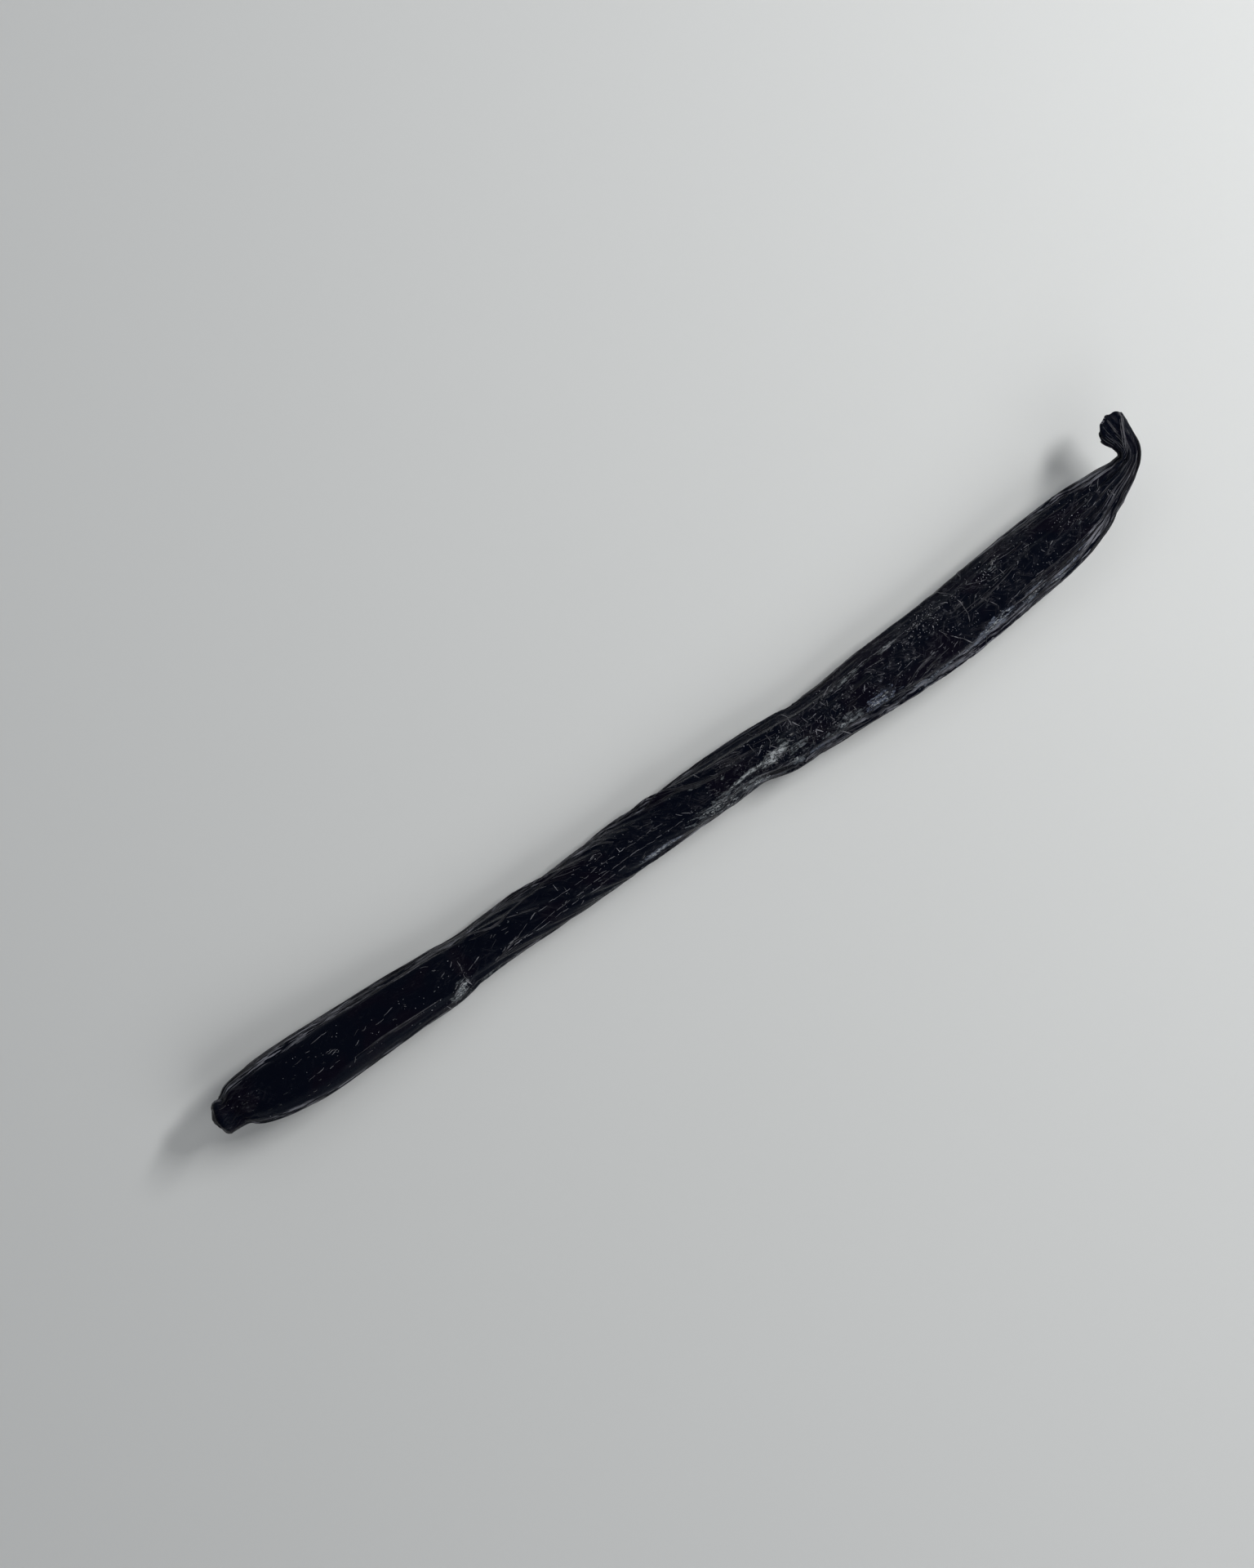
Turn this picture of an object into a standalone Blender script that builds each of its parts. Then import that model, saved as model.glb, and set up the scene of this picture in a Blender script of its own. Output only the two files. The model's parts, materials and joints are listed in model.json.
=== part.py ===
"""A cured vanilla pod, one solid, lofted round a bent and slightly twisted spine.

Metres. +X runs from the blossom end to the stem hook, +Y is the side the hook curls to and +Z is up.
The origin lies on the table, under the middle of the pod's box.
"""

from typing import NamedTuple

import bpy
import numpy as np

MM = 0.001
NAME = "vanilla_pod"
AROUND = 64  # points round one section
SMALL_STEP = 0.05  # mm, for the direction of the spine

# The pod from its blossom scar to its torn stem, in millimetres: the place of the spine (along, side),
# how far the underside is off the table (lift; where it is below it, the pod has pressed itself flat),
# and the section's width and depth.
STATIONS = (
    # along, side, lift, width, depth
    (-85.8, -0.40, 3.5, 5.6, 4.9),  # collar of the blossom scar
    (-84.9, -0.50, 3.5, 5.2, 4.6),  # waist behind the collar
    (-82.4, -0.35, 2.7, 7.3, 5.6),
    (-79.0, -0.80, 1.9, 9.4, 6.4),
    (-73.0, -1.40, 1.0, 10.8, 7.0),  # belly of the blossom third
    (-60.0, -1.85, 0.0, 10.1, 7.0),
    (-46.0, -2.30, -0.3, 8.9, 6.6),
    (-41.0, -2.30, -0.3, 8.0, 6.2),  # past the first kink
    (-33.0, -2.15, -0.3, 8.1, 6.2),
    (-25.0, -2.45, -0.3, 7.7, 6.1),
    (-13.0, -2.20, -0.3, 8.4, 6.2),
    (2.0, -2.40, -0.3, 8.1, 6.2),
    (10.5, -2.45, -0.3, 8.2, 6.4),
    (17.0, -3.25, -0.3, 8.9, 6.7),  # the crumpled bend
    (21.0, -3.50, -0.3, 8.5, 6.6),
    (33.0, -3.50, -0.3, 10.1, 7.1),
    (45.0, -3.55, -0.2, 10.9, 7.2),  # belly of the stem third
    (57.0, -2.60, 0.6, 11.0, 7.0),
    (69.0, -1.50, 2.4, 10.3, 6.0),
    (74.8, -0.80, 3.9, 8.5, 5.0),
    (78.4, 0.15, 5.1, 6.0, 4.1),
    (81.8, 1.00, 6.3, 3.9, 3.4),
    (83.4, 1.85, 7.0, 3.1, 3.0),  # neck, where the stem turns
    (84.1, 3.10, 7.6, 3.3, 2.8),
    (84.1, 4.80, 8.1, 4.1, 2.7),
    (83.8, 6.70, 8.3, 4.9, 2.7),
    (83.7, 8.80, 8.4, 5.2, 2.6),  # ragged rim of the stem
)

# Where the sections lie along the spine: the reach of each stretch and the steps it takes.
STRETCHES = (
    (0.0, 1.1, 2),
    (1.1, 10.0, 5),
    (10.0, 41.0, 9),
    (41.0, 49.0, 7),
    (49.0, 99.0, 12),
    (99.0, 111.0, 8),
    (111.0, 133.5, 6),
    (133.5, 138.5, 3),
    (138.5, 164.0, 7),
    (164.0, None, 9),
)

SQUARENESS = 2.3  # exponent of the sections: 2 is an ellipse
THREE_SEAMS = 0.03  # how far the pod's three seams stand out, as a share of the radius
SEAM_TURN = 0.5

# Long folds of the dried skin: how many go round the pod, how deep they are in mm and how they are turned.
FOLDS = ((7, 0.12, 0.4), (11, 0.15, 2.1), (16, 0.09, 4.0))
TWIST = 2.9  # radians that the folds lean round the pod, between the two places below
TWIST_FROM = 42.0
TWIST_TO = 96.0
FOLDS_GROW = (1.5, 9.0)  # behind the collar they start and are full
SMOOTH_BACK = (36.0, 44.0)  # the blossom third has a smooth back, which ends between these places
SMOOTH_SHARE = 0.8  # how much of the folds is missing there
NECK_RIDGES = (9, 0.22)  # cords that gather into the neck: count and height
NECK_GROW = (140.0, 160.0)
STEM_FLATTENS = (171.0, 175.0)  # past the neck, folds and cords sink into the stem
STEM_SHARE = 0.35  # what is left of them there

COLLAR_BULGE = 0.6  # how far the collar's rim stands out above and below
COLLAR_REACH = 1.6

# The torn stem: its rim bulges forward in the middle and is set back on both sides.
FLARE_REACH = 4.4
RIM_LEAN = -0.7
RIM_BULGE = -1.9
RIM_TEETH = (9, 0.25)  # count round the rim, and height
TEETH_UNEVEN = (2, 1.0)  # how often they change in height round the rim, and where

# The sharp fold down the back of the stem: its height, and its angle round the stem at both its ends.
CREST = 0.35
CREST_TURN = (1.1, 2.35)
CREST_WIDTH = 0.24
CREST_BEFORE = 1.0  # it starts this far before the flare
CREST_SHORT = 1.2  # and has turned fully this far from the rim
CREST_FADE = (-1.0, 1.5)  # it rises between these places, from its start

# End caps from their rim to the middle: share of the rim's size, and how far it stands out.
SCAR = ((0.96, 0.35), (0.86, 0.55), (0.74, 0.50), (0.50, 0.95), (0.24, 1.15))
SCAR_MIDDLE = 1.2
HOLLOW = ((0.90, 0.02), (0.74, -0.45), (0.44, -0.80))
HOLLOW_MIDDLE = -0.9

SKIN_COLOUR = (0.012, 0.011, 0.014, 1.0)
SKIN_ROUGHNESS = 0.38


class Kink(NamedTuple):
    """A transverse crease where the pod was bent: the skin dips in it and bulges on the blossom side."""

    place: float  # along the spine, mm
    lean: float  # how much further along the crease is on the +Y side than on the other
    reach: float
    dip: float
    bulge: float
    side: float  # the angle round the section where it is deepest
    spread: float  # 0 goes evenly all round, 1 fades out on the far side


BULGE_BEHIND = 2.2  # in reaches of the crease: how far behind it the bulge is
BULGE_SPREAD = 1.4

KINKS = (
    Kink(44.4, -1.2, 0.9, 0.35, 0.08, 2.6, 0.4),
    Kink(105.8, -0.5, 1.2, 0.35, 0.12, 3.5, 0.8),
    Kink(106.0, 0.0, 1.6, 0.25, 0.05, 0.2, 0.9),
    Kink(101.5, -2.0, 1.2, 0.30, 0.15, 2.5, 0.9),
    Kink(135.3, -0.8, 0.8, 0.22, 0.12, 0.8, 0.5),
)


def clear_scene():
    for thing in list(bpy.data.objects):
        bpy.data.objects.remove(thing)


def curve_through(knots, values, places):
    """A smooth curve through the values at the knots: cubic pieces whose slopes match at each knot."""
    slopes = np.gradient(values, knots, axis=0)
    piece = np.clip(np.searchsorted(knots, places, side="right") - 1, 0, len(knots) - 2)
    span = knots[piece + 1] - knots[piece]
    t = ((places - knots[piece]) / span)[:, None]
    low, high = values[piece], values[piece + 1]
    rise_low, rise_high = slopes[piece] * span[:, None], slopes[piece + 1] * span[:, None]
    bend = (1 + 2 * t) * (1 - t) ** 2 * low + t**2 * (3 - 2 * t) * high
    return bend + t * (1 - t) ** 2 * rise_low - t**2 * (1 - t) * rise_high


def ramp(value, start, end):
    """0 before start, 1 after end, and a smooth step between them."""
    t = np.clip((value - start) / (end - start), 0, 1)
    return t * t * (3 - 2 * t)


def station_table():
    """Distance along the spine at each station, and its centre (x, y, z), width and depth there."""
    along, side, lift, width, depth = np.array(STATIONS).T
    table = np.stack([along, side, lift + depth / 2, width, depth], axis=1)
    steps = np.linalg.norm(np.diff(table[:, :3], axis=0), axis=1)
    return np.concatenate([[0.0], np.cumsum(steps)]), table


def section_places(length):
    places = [0.0]
    for start, end, steps in STRETCHES:
        places.extend(np.linspace(start, end or length, steps + 1)[1:])
    return np.array(places)


def twist(places):
    return TWIST * ramp(places, TWIST_FROM, TWIST_TO)


def long_folds(places, angles):
    """The dried skin's folds, which lean round the pod in its middle, and the cords of the neck."""
    turned = angles - twist(places)
    folds = sum(deep * np.cos(count * turned + turn) for count, deep, turn in FOLDS)
    back = np.clip(np.sin(angles), 0, 1) ** 2
    folds = folds * (1 - SMOOTH_SHARE * back * (1 - ramp(places, *SMOOTH_BACK)))
    folds = folds * ramp(places, *FOLDS_GROW)
    count, high = NECK_RIDGES
    cords = high * ramp(places, *NECK_GROW) * np.cos(count * turned)
    return (folds + cords) * (1 - (1 - STEM_SHARE) * ramp(places, *STEM_FLATTENS))


def kink_relief(places, angles):
    height = np.zeros_like(places * angles)
    for kink in KINKS:
        off = (places - kink.place - kink.lean * np.cos(angles)) / kink.reach
        share = 1 - kink.spread * (1 - np.cos(angles - kink.side)) / 2
        valley = -kink.dip * np.exp(-(off**2))
        height += share * (valley + kink.bulge * np.exp(-(((off + BULGE_BEHIND) / BULGE_SPREAD) ** 2)))
    return height


def stem_crest(places, angles, length):
    """The fold that stands up along the back of the torn stem and runs across to its outer side."""
    start, end = length - FLARE_REACH - CREST_BEFORE, length - CREST_SHORT
    share = ramp(places, start + CREST_FADE[0], start + CREST_FADE[1])
    turn = np.interp(places, (start, end), CREST_TURN)
    aside = (angles - turn + np.pi) % (2 * np.pi) - np.pi
    return CREST * share * np.exp(-((aside / CREST_WIDTH) ** 2))


def outline(angles, width, depth):
    """A rounded section with three faint seams: (across, up) for each angle."""
    power = 2 / SQUARENESS
    seams = 1 + THREE_SEAMS * np.cos(3 * (angles - SEAM_TURN))
    across = width / 2 * np.sign(np.cos(angles)) * np.abs(np.cos(angles)) ** power
    up = depth / 2 * np.sign(np.sin(angles)) * np.abs(np.sin(angles)) ** power
    return seams * across, seams * up


def rim_offset(places, angles, length):
    """How far forward the points of a section are moved, so that the stem ends in a bulging, ragged rim."""
    share = np.clip((places - length + FLARE_REACH) / FLARE_REACH, 0, 1) ** 1.5
    level = np.cos(angles)
    count, long = RIM_TEETH
    often, turn = TEETH_UNEVEN
    teeth = long * np.cos(count * angles) * np.cos(often * angles + turn)
    return share * (RIM_LEAN * level + RIM_BULGE * level**2 + teeth * share**3)


def skin_points(places, angles):
    """Points of the skin: a row for each place along the spine, its columns leaning round with the folds."""
    knots, table = station_table()
    rows = curve_through(knots, table, places)
    ahead = curve_through(knots, table, np.minimum(places + SMALL_STEP, knots[-1]))
    behind = curve_through(knots, table, np.maximum(places - SMALL_STEP, 0.0))
    forward = ahead[:, :3] - behind[:, :3]
    forward /= np.linalg.norm(forward, axis=1, keepdims=True)
    leftward = np.cross([0.0, 0.0, 1.0], forward)
    leftward /= np.linalg.norm(leftward, axis=1, keepdims=True)
    upward = np.cross(forward, leftward)

    s = places[:, None]
    a = angles[None, :] + twist(s)
    across, up = outline(a, rows[:, 3:4], rows[:, 4:5])
    relief = long_folds(s, a) + kink_relief(s, a) + stem_crest(s, a, knots[-1])
    grown = 1 + relief / np.hypot(across, up)
    on = rim_offset(s, a, knots[-1]) - COLLAR_BULGE * (1 - ramp(s, 0.0, COLLAR_REACH)) * np.sin(a) ** 2
    return (
        rows[:, None, :3]
        + (across * grown)[..., None] * leftward[:, None]
        + (up * grown)[..., None] * upward[:, None]
        + on[..., None] * forward[:, None]
    )


def capped(rim, profile, middle_out):
    """Rings from a rim inwards, and the point in their middle: profile gives each ring's size and place."""
    middle = rim.mean(axis=0)
    across, up = rim[0] - middle, rim[len(rim) // 4] - middle
    outward = np.cross(up, across)
    outward /= np.linalg.norm(outward)
    rings = [middle + share * (rim - middle) + out * outward for share, out in profile]
    return np.array(rings), middle + middle_out * outward


def pod_points():
    """All rings from the blossom scar's middle to the hollow of the stem, and the two middles, in mm."""
    length = station_table()[0][-1]
    angles = np.arange(AROUND) * 2 * np.pi / AROUND
    skin = skin_points(section_places(length), angles)
    scar, scar_middle = capped(skin[0], SCAR, SCAR_MIDDLE)
    hollow, hollow_middle = capped(skin[-1][::-1], HOLLOW, HOLLOW_MIDDLE)
    rings = np.concatenate([scar[::-1], skin, hollow[:, ::-1]])
    return rings, scar_middle, hollow_middle


def pod_mesh():
    rings, scar_middle, hollow_middle = pod_points()
    count = len(rings)
    points = np.concatenate([rings.reshape(-1, 3), [scar_middle, hollow_middle]])
    points[:, 2] = np.maximum(points[:, 2], 0.0)
    low, high = points.min(axis=0), points.max(axis=0)
    points[:, :2] -= (low + high)[:2] / 2

    ring = np.arange(count - 1)[:, None] * AROUND
    here = np.arange(AROUND)[None, :]
    beyond = (here + 1) % AROUND
    quads = np.stack([ring + here, ring + beyond, ring + AROUND + beyond, ring + AROUND + here], axis=-1)
    last = (count - 1) * AROUND
    faces = quads.reshape(-1, 4).tolist()
    for i in range(AROUND):
        j = (i + 1) % AROUND
        faces.append((j, i, count * AROUND))
        faces.append((last + i, last + j, count * AROUND + 1))

    mesh = bpy.data.meshes.new(NAME)
    mesh.from_pydata((points * MM).tolist(), [], faces)
    mesh.validate()
    mesh.shade_smooth()
    return mesh


def skin_material():
    material = bpy.data.materials.new("oily dark skin")
    material.use_nodes = True
    shader = material.node_tree.nodes["Principled BSDF"]
    shader.inputs["Base Color"].default_value = SKIN_COLOUR
    shader.inputs["Roughness"].default_value = SKIN_ROUGHNESS
    shader.inputs["Metallic"].default_value = 0.0
    return material


def main():
    clear_scene()
    pod = bpy.data.objects.new(NAME, pod_mesh())
    pod.data.materials.append(skin_material())
    collection = bpy.data.collections.new("vanilla pod")
    bpy.context.scene.collection.children.link(collection)
    collection.objects.link(pod)


main()
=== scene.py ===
"""A cured vanilla pod on a pale floor, by the light of one broad window.

The pod's skin is the solid's own loft, drawn again with many more points and with the fine wrinkles,
creases and crumples of the dried skin. Lengths are in millimetres until they enter a mesh.
"""

import json
import math
from typing import NamedTuple

import bpy
import numpy as np
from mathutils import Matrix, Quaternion, Vector


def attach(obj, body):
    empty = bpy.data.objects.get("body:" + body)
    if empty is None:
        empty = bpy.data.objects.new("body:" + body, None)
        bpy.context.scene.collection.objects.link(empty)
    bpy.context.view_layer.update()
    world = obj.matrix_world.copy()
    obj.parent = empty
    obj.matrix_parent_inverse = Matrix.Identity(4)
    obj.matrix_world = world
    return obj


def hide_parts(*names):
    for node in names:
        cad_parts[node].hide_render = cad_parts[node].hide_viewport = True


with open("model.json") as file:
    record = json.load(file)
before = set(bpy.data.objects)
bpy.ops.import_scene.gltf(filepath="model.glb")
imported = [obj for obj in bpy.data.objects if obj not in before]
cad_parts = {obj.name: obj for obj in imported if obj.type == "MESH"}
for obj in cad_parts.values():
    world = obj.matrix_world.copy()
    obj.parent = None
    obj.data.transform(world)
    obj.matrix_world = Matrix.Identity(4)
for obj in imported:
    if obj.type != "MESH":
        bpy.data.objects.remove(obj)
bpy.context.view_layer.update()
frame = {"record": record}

NODE = frame["record"]["subparts"][0]["node"]

MM = 0.001
AROUND = 160  # points round one section
BACK_SHARE = 0.35  # how much closer the points lie on the back than under the belly
SMALL_STEP = 0.05  # mm, for directions along the pod
SMALL_TURN = 0.012  # radians, for directions round it
MIDDLE = (-0.49965, 0.05580)  # middle of the solid's box before it was moved to the origin, mm

# The spine and the sections of the pod, in millimetres, as its solid has them.
STATIONS = (
    # along, side, lift, width, depth
    (-85.8, -0.40, 3.5, 5.6, 4.9),  # collar of the blossom scar
    (-84.9, -0.50, 3.5, 5.2, 4.6),  # waist behind the collar
    (-82.4, -0.35, 2.7, 7.3, 5.6),
    (-79.0, -0.80, 1.9, 9.4, 6.4),
    (-73.0, -1.40, 1.0, 10.8, 7.0),  # belly of the blossom third
    (-60.0, -1.85, 0.0, 10.1, 7.0),
    (-46.0, -2.30, -0.3, 8.9, 6.6),
    (-41.0, -2.30, -0.3, 8.0, 6.2),  # past the first kink
    (-33.0, -2.15, -0.3, 8.1, 6.2),
    (-25.0, -2.45, -0.3, 7.7, 6.1),
    (-13.0, -2.20, -0.3, 8.4, 6.2),
    (2.0, -2.40, -0.3, 8.1, 6.2),
    (10.5, -2.45, -0.3, 8.2, 6.4),
    (17.0, -3.25, -0.3, 8.9, 6.7),  # the crumpled bend
    (21.0, -3.50, -0.3, 8.5, 6.6),
    (33.0, -3.50, -0.3, 10.1, 7.1),
    (45.0, -3.55, -0.2, 10.9, 7.2),  # belly of the stem third
    (57.0, -2.60, 0.6, 11.0, 7.0),
    (69.0, -1.50, 2.4, 10.3, 6.0),
    (74.8, -0.80, 3.9, 8.5, 5.0),
    (78.4, 0.15, 5.1, 6.0, 4.1),
    (81.8, 1.00, 6.3, 3.9, 3.4),
    (83.4, 1.85, 7.0, 3.1, 3.0),  # neck, where the stem turns
    (84.1, 3.10, 7.6, 3.3, 2.8),
    (84.1, 4.80, 8.1, 4.1, 2.7),
    (83.8, 6.70, 8.3, 4.9, 2.7),
    (83.7, 8.80, 8.4, 5.2, 2.6),  # ragged rim of the stem
)

# Reach of each stretch of the spine and the spacing of its rings.
STRETCHES = (
    (0.0, 4.0, 0.17),
    (4.0, 40.0, 0.40),
    (40.0, 50.0, 0.22),
    (50.0, 92.0, 0.36),
    (92.0, 112.0, 0.22),
    (112.0, 160.0, 0.33),
    (160.0, 168.0, 0.22),
    (168.0, None, 0.17),
)

SQUARENESS = 2.3
THREE_SEAMS = 0.03
SEAM_TURN = 0.5
FOLDS = ((7, 0.12, 0.4), (11, 0.15, 2.1), (16, 0.09, 4.0))
TWIST = 2.9
TWIST_FROM = 42.0
TWIST_TO = 96.0
FOLDS_GROW = (1.5, 9.0)
SMOOTH_BACK = (36.0, 44.0)
SMOOTH_SHARE = 0.8
NECK_RIDGES = (9, 0.22)
NECK_GROW = (140.0, 160.0)
STEM_FLATTENS = (171.0, 175.0)
STEM_SHARE = 0.35
COLLAR_BULGE = 0.6
COLLAR_REACH = 1.6
FLARE_REACH = 4.4
RIM_LEAN = -0.7
RIM_BULGE = -1.9
RIM_TEETH = (9, 0.25)
TEETH_UNEVEN = (2, 1.0)
CREST = 0.35
CREST_TURN = (1.1, 2.35)
CREST_WIDTH = 0.24
CREST_BEFORE = 1.0
CREST_SHORT = 1.2
CREST_FADE = (-1.0, 1.5)
BULGE_BEHIND = 2.2
BULGE_SPREAD = 1.4
SCAR = ((0.98, 0.10), (0.95, 0.35), (0.86, 0.55), (0.74, 0.50), (0.62, 0.72), (0.50, 0.95), (0.36, 1.07), (0.24, 1.15), (0.12, 1.19))
SCAR_MIDDLE = 1.2
SCAR_UNEVEN = 0.12
HOLLOW = ((0.96, 0.08), (0.90, 0.02), (0.82, -0.25), (0.74, -0.45), (0.60, -0.66), (0.44, -0.80), (0.22, -0.88))
HOLLOW_MIDDLE = -0.9


class Kink(NamedTuple):
    """A transverse crease where the pod was bent."""

    place: float
    lean: float
    reach: float
    dip: float
    bulge: float
    side: float
    spread: float


KINKS = (
    Kink(42.9, -0.6, 0.7, 0.30, 0.0, 2.6, 0.4),
    Kink(105.8, -0.5, 1.2, 0.35, 0.12, 3.5, 0.8),
    Kink(106.0, 0.0, 1.6, 0.25, 0.05, 0.2, 0.9),
    Kink(101.5, -2.0, 1.2, 0.30, 0.15, 2.5, 0.9),
    Kink(135.3, -0.8, 0.8, 0.22, 0.12, 0.8, 0.5),
)


class Fold(NamedTuple):
    """A fold of the skin along a path (x, y), seen from above, in mm."""

    path: tuple
    width: float
    height: float
    fade: float


LONG_FOLD_PATHS = (
    Fold(((-68, -4.3), (-64.5, -4.4), (-56, -4.3), (-48, -4.75), (-45, -5.0)), 0.45, 0.14, 2.5),
    Fold(((-43.5, 1.6), (-41.7, 1.0), (-37.5, 0.0), (-34, -0.5), (-30, -0.1), (-25, 0.2)), 0.35, 0.22, 1.5),
    Fold(((-34, -0.4), (-33, -0.6), (-30.5, -1.4), (-28.2, -2.2), (-26, -2.7)), 0.28, 0.14, 1.0),
    Fold(((-18, 1.7), (-16, 1.2), (-12, -1.2), (-8, -2.4)), 0.30, 0.12, 1.5),
    Fold(((-9.5, 2.0), (-7.0, 1.6), (-5, 1.2), (3.4, -1.4), (8, -2.4), (13, -3.2)), 0.75, 0.34, 3.5),
    Fold(((-6, 0.4), (-2, -0.7), (4, -2.6), (10, -3.6)), 0.30, 0.14, 2.0),
    Fold(((2, -4.4), (7, -4.0), (12.5, -3.7), (17, -2.9), (19, -2.2)), 0.55, 0.28, 2.0),
    Fold(((44, -3.4), (51, -3.0), (57.5, -2.2), (61.5, -1.5), (67, -0.6)), 0.35, 0.16, 3.0),
    Fold(((30, -1.6), (38, -1.9), (46, -1.5), (52, -0.6)), 0.30, 0.12, 3.0),
    Fold(((50, -6.0), (56.7, -5.1), (65, -4.5), (72.5, -3.5), (78.7, -1.5)), 0.35, 0.20, 3.0),
    Fold(((58, -6.6), (66, -5.6), (72.5, -4.4), (78, -2.3)), 0.30, 0.18, 3.0),
)


class Crumple(NamedTuple):
    """A crumpled patch of the skin around (x, y), seen from above: small slanting steps."""

    x: float
    y: float
    long: float
    round: float
    much: float
    step: float
    high: float
    slant: float
    seed: int


CRUMPLES = (
    Crumple(-45.0, -5.6, 2.0, 0.38, 0.9, 0.75, 0.34, 0.5, 71),
    Crumple(-43.6, -1.5, 1.0, 0.8, 0.5, 0.60, 0.18, 0.2, 73),
    Crumple(12.5, -4.0, 4.5, 0.33, 1.0, 0.80, 0.36, 0.6, 75),
    Crumple(16.5, -6.8, 2.5, 0.45, 1.0, 0.90, 0.40, -0.4, 77),
    Crumple(19.5, -2.0, 5.0, 1.2, 0.9, 1.10, 0.08, 0.7, 79),
    Crumple(31.0, -1.0, 9.0, 1.0, 0.6, 1.30, 0.10, -0.5, 81),
    Crumple(48.0, -1.0, 6.0, 1.0, 0.6, 1.20, 0.12, 0.4, 83),
    Crumple(58.0, 0.0, 5.0, 0.8, 0.6, 1.20, 0.12, -0.6, 85),
    Crumple(72.0, -1.5, 5.0, 0.8, 0.5, 1.00, 0.10, 0.5, 87),
)


class FilmAndSheen(NamedTuple):
    """A grey film on the skin around (x, y), seen from above, partly dust and partly a painted sheen; blue says how
    blue it is, a painted bluish reflection.
    """

    x: float
    y: float
    long: float
    across: float
    slant: float
    much: float
    blue: float


FILMS_AND_SHEENS = (
    FilmAndSheen(-45.5, -5.6, 2.2, 1.3, 0.5, 0.97, 0.2),
    FilmAndSheen(-40.0, -6.0, 3.0, 0.5, 0.0, 0.75, 0.1),
    FilmAndSheen(-18.5, -6.1, 6.0, 0.5, 0.0, 0.65, 0.2),
    FilmAndSheen(-8.0, -5.7, 4.6, 0.7, 0.0, 1.1, 0.9),
    FilmAndSheen(4.0, -5.4, 7.0, 1.7, 0.0, 0.88, 0.2),
    FilmAndSheen(10.0, -5.7, 5.0, 1.6, -0.1, 0.90, 0.2),
    FilmAndSheen(9.0, -3.9, 5.0, 0.4, 0.1, 1.2, 0.1),
    FilmAndSheen(14.2, -4.0, 3.2, 0.85, 0.25, 1.30, 0.1),
    FilmAndSheen(16.6, -6.4, 1.5, 1.0, 0.0, 1.15, 0.4),
    FilmAndSheen(17.9, -4.8, 2.2, 1.5, 0.0, 0.68, 0.2),
    FilmAndSheen(21.5, -6.9, 3.0, 0.7, 0.0, 0.75, 0.7),
    FilmAndSheen(26.0, -6.0, 4.0, 0.9, 0.1, 0.75, 0.2),
    FilmAndSheen(32.2, -6.2, 3.4, 1.0, 0.0, 0.94, 1.0),
    FilmAndSheen(42.0, -7.9, 9.0, 0.8, 0.0, 0.65, 0.5),
    FilmAndSheen(52.6, -6.8, 5.2, 1.0, 0.1, 0.92, 0.8),
    FilmAndSheen(60.2, -6.4, 3.6, 1.2, 0.2, 0.88, 0.6),
    FilmAndSheen(66.0, -6.1, 5.2, 0.9, 0.2, 0.92, 0.9),
    FilmAndSheen(58.0, 0.3, 1.6, 0.8, 0.4, 0.35, 0.2),
    FilmAndSheen(1.5, -0.9, 7.0, 0.5, -0.25, 0.55, 0.1),
    FilmAndSheen(29.5, -0.8, 5.5, 0.35, 0.05, 0.85, 0.1),
    FilmAndSheen(37.5, -0.3, 2.2, 0.50, 0.1, 0.95, 0.1),
    FilmAndSheen(73.0, -1.6, 2.0, 0.7, 0.3, 0.45, 0.3),
)


STROKE = 1.7  # mm, about how long the strokes are that a long crease is broken into
STROKE_POINTS = 8
STRAND_POINTS = 16
FOLD_THREADS = 5
THREAD_SECTION = ((-1.0, -0.35), (-0.55, 0.55), (0.0, 1.0), (0.55, 0.55), (1.0, -0.35), (0.0, -0.9))
CREASE_WIDTH = (0.025, 0.080)  # half the width of a crease, mm
BROAD_WIDTH = (0.05, 0.10)

# How lined the back is at places along the spine, from 0, smooth, to 1.
LINED = ((0, 0.7), (5, 0.5), (9, 0.08), (38, 0.10), (42, 0.4), (50, 0.2), (72, 0.4), (90, 0.7), (100, 1.0),
         (112, 1.0), (150, 0.9), (164, 0.9), (171, 0.3), (178, 0.2))

# How far the dried skin stands out beyond the plain form, in mm: place along the spine, on the +Y edge and
# on the -Y edge.
SWELLS = ((0, 0.0, 0.0), (0.6, 0.15, 0.0), (1.3, 0.35, 0.0), (2.2, 0.1, 0.0), (4, 0.0, 0.0), (9, -0.2, 0.0),
          (25, -0.15, 0.2), (33, -0.13, 0.0), (40, -0.18, 0.30), (44, -0.33, 0.05), (48, -0.2, -0.1),
          (52, -0.3, -0.05), (56, -0.12, 0.05), (62, 0.13, 0.08), (67, 0.0, 0.14), (72, -0.25, 0.12),
          (75, -0.33, -0.1), (78, -0.5, -0.2), (81, -0.28, 0.06), (85, -0.1, 0.08), (92, 0.1, 0.1),
          (97, 0.0, -0.25), (101, -0.1, -0.05), (105, -0.2, 0.1), (109, 0.04, 0.2), (115, -0.12, 0.12),
          (127, -0.05, 0.05), (137, -0.05, 0.0), (142, 0.0, 0.15), (147, -0.05, 0.0), (152, -0.18, 0.0),
          (157, -0.12, 0.0), (160.5, -0.05, -0.32), (163, 0.0, -0.5), (165, 0.0, 0.03), (168, 0.0, 0.0))

# Bands of fine ridges along both edges, whose crests carry a painted highlight: place along the spine, and the angles
# from the top of the back where the band of the +Y edge ends and that of the -Y edge begins.
BANDS = ((0, -0.9, 1.0), (3, -0.7, 0.95), (8, -0.72, 0.95), (15, -0.78, 1.08), (20, -0.80, 1.18), (42, -0.95, 1.25), (60, -0.95, 1.32),
         (84, -0.90, 1.20), (92, -1.15, 1.0), (104, -1.25, 0.85), (146, -1.20, 0.75), (158, -0.85, 0.50),
         (170, -0.4, 0.2), (173, -1.7, 1.35), (178, -1.7, 1.35))

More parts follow.
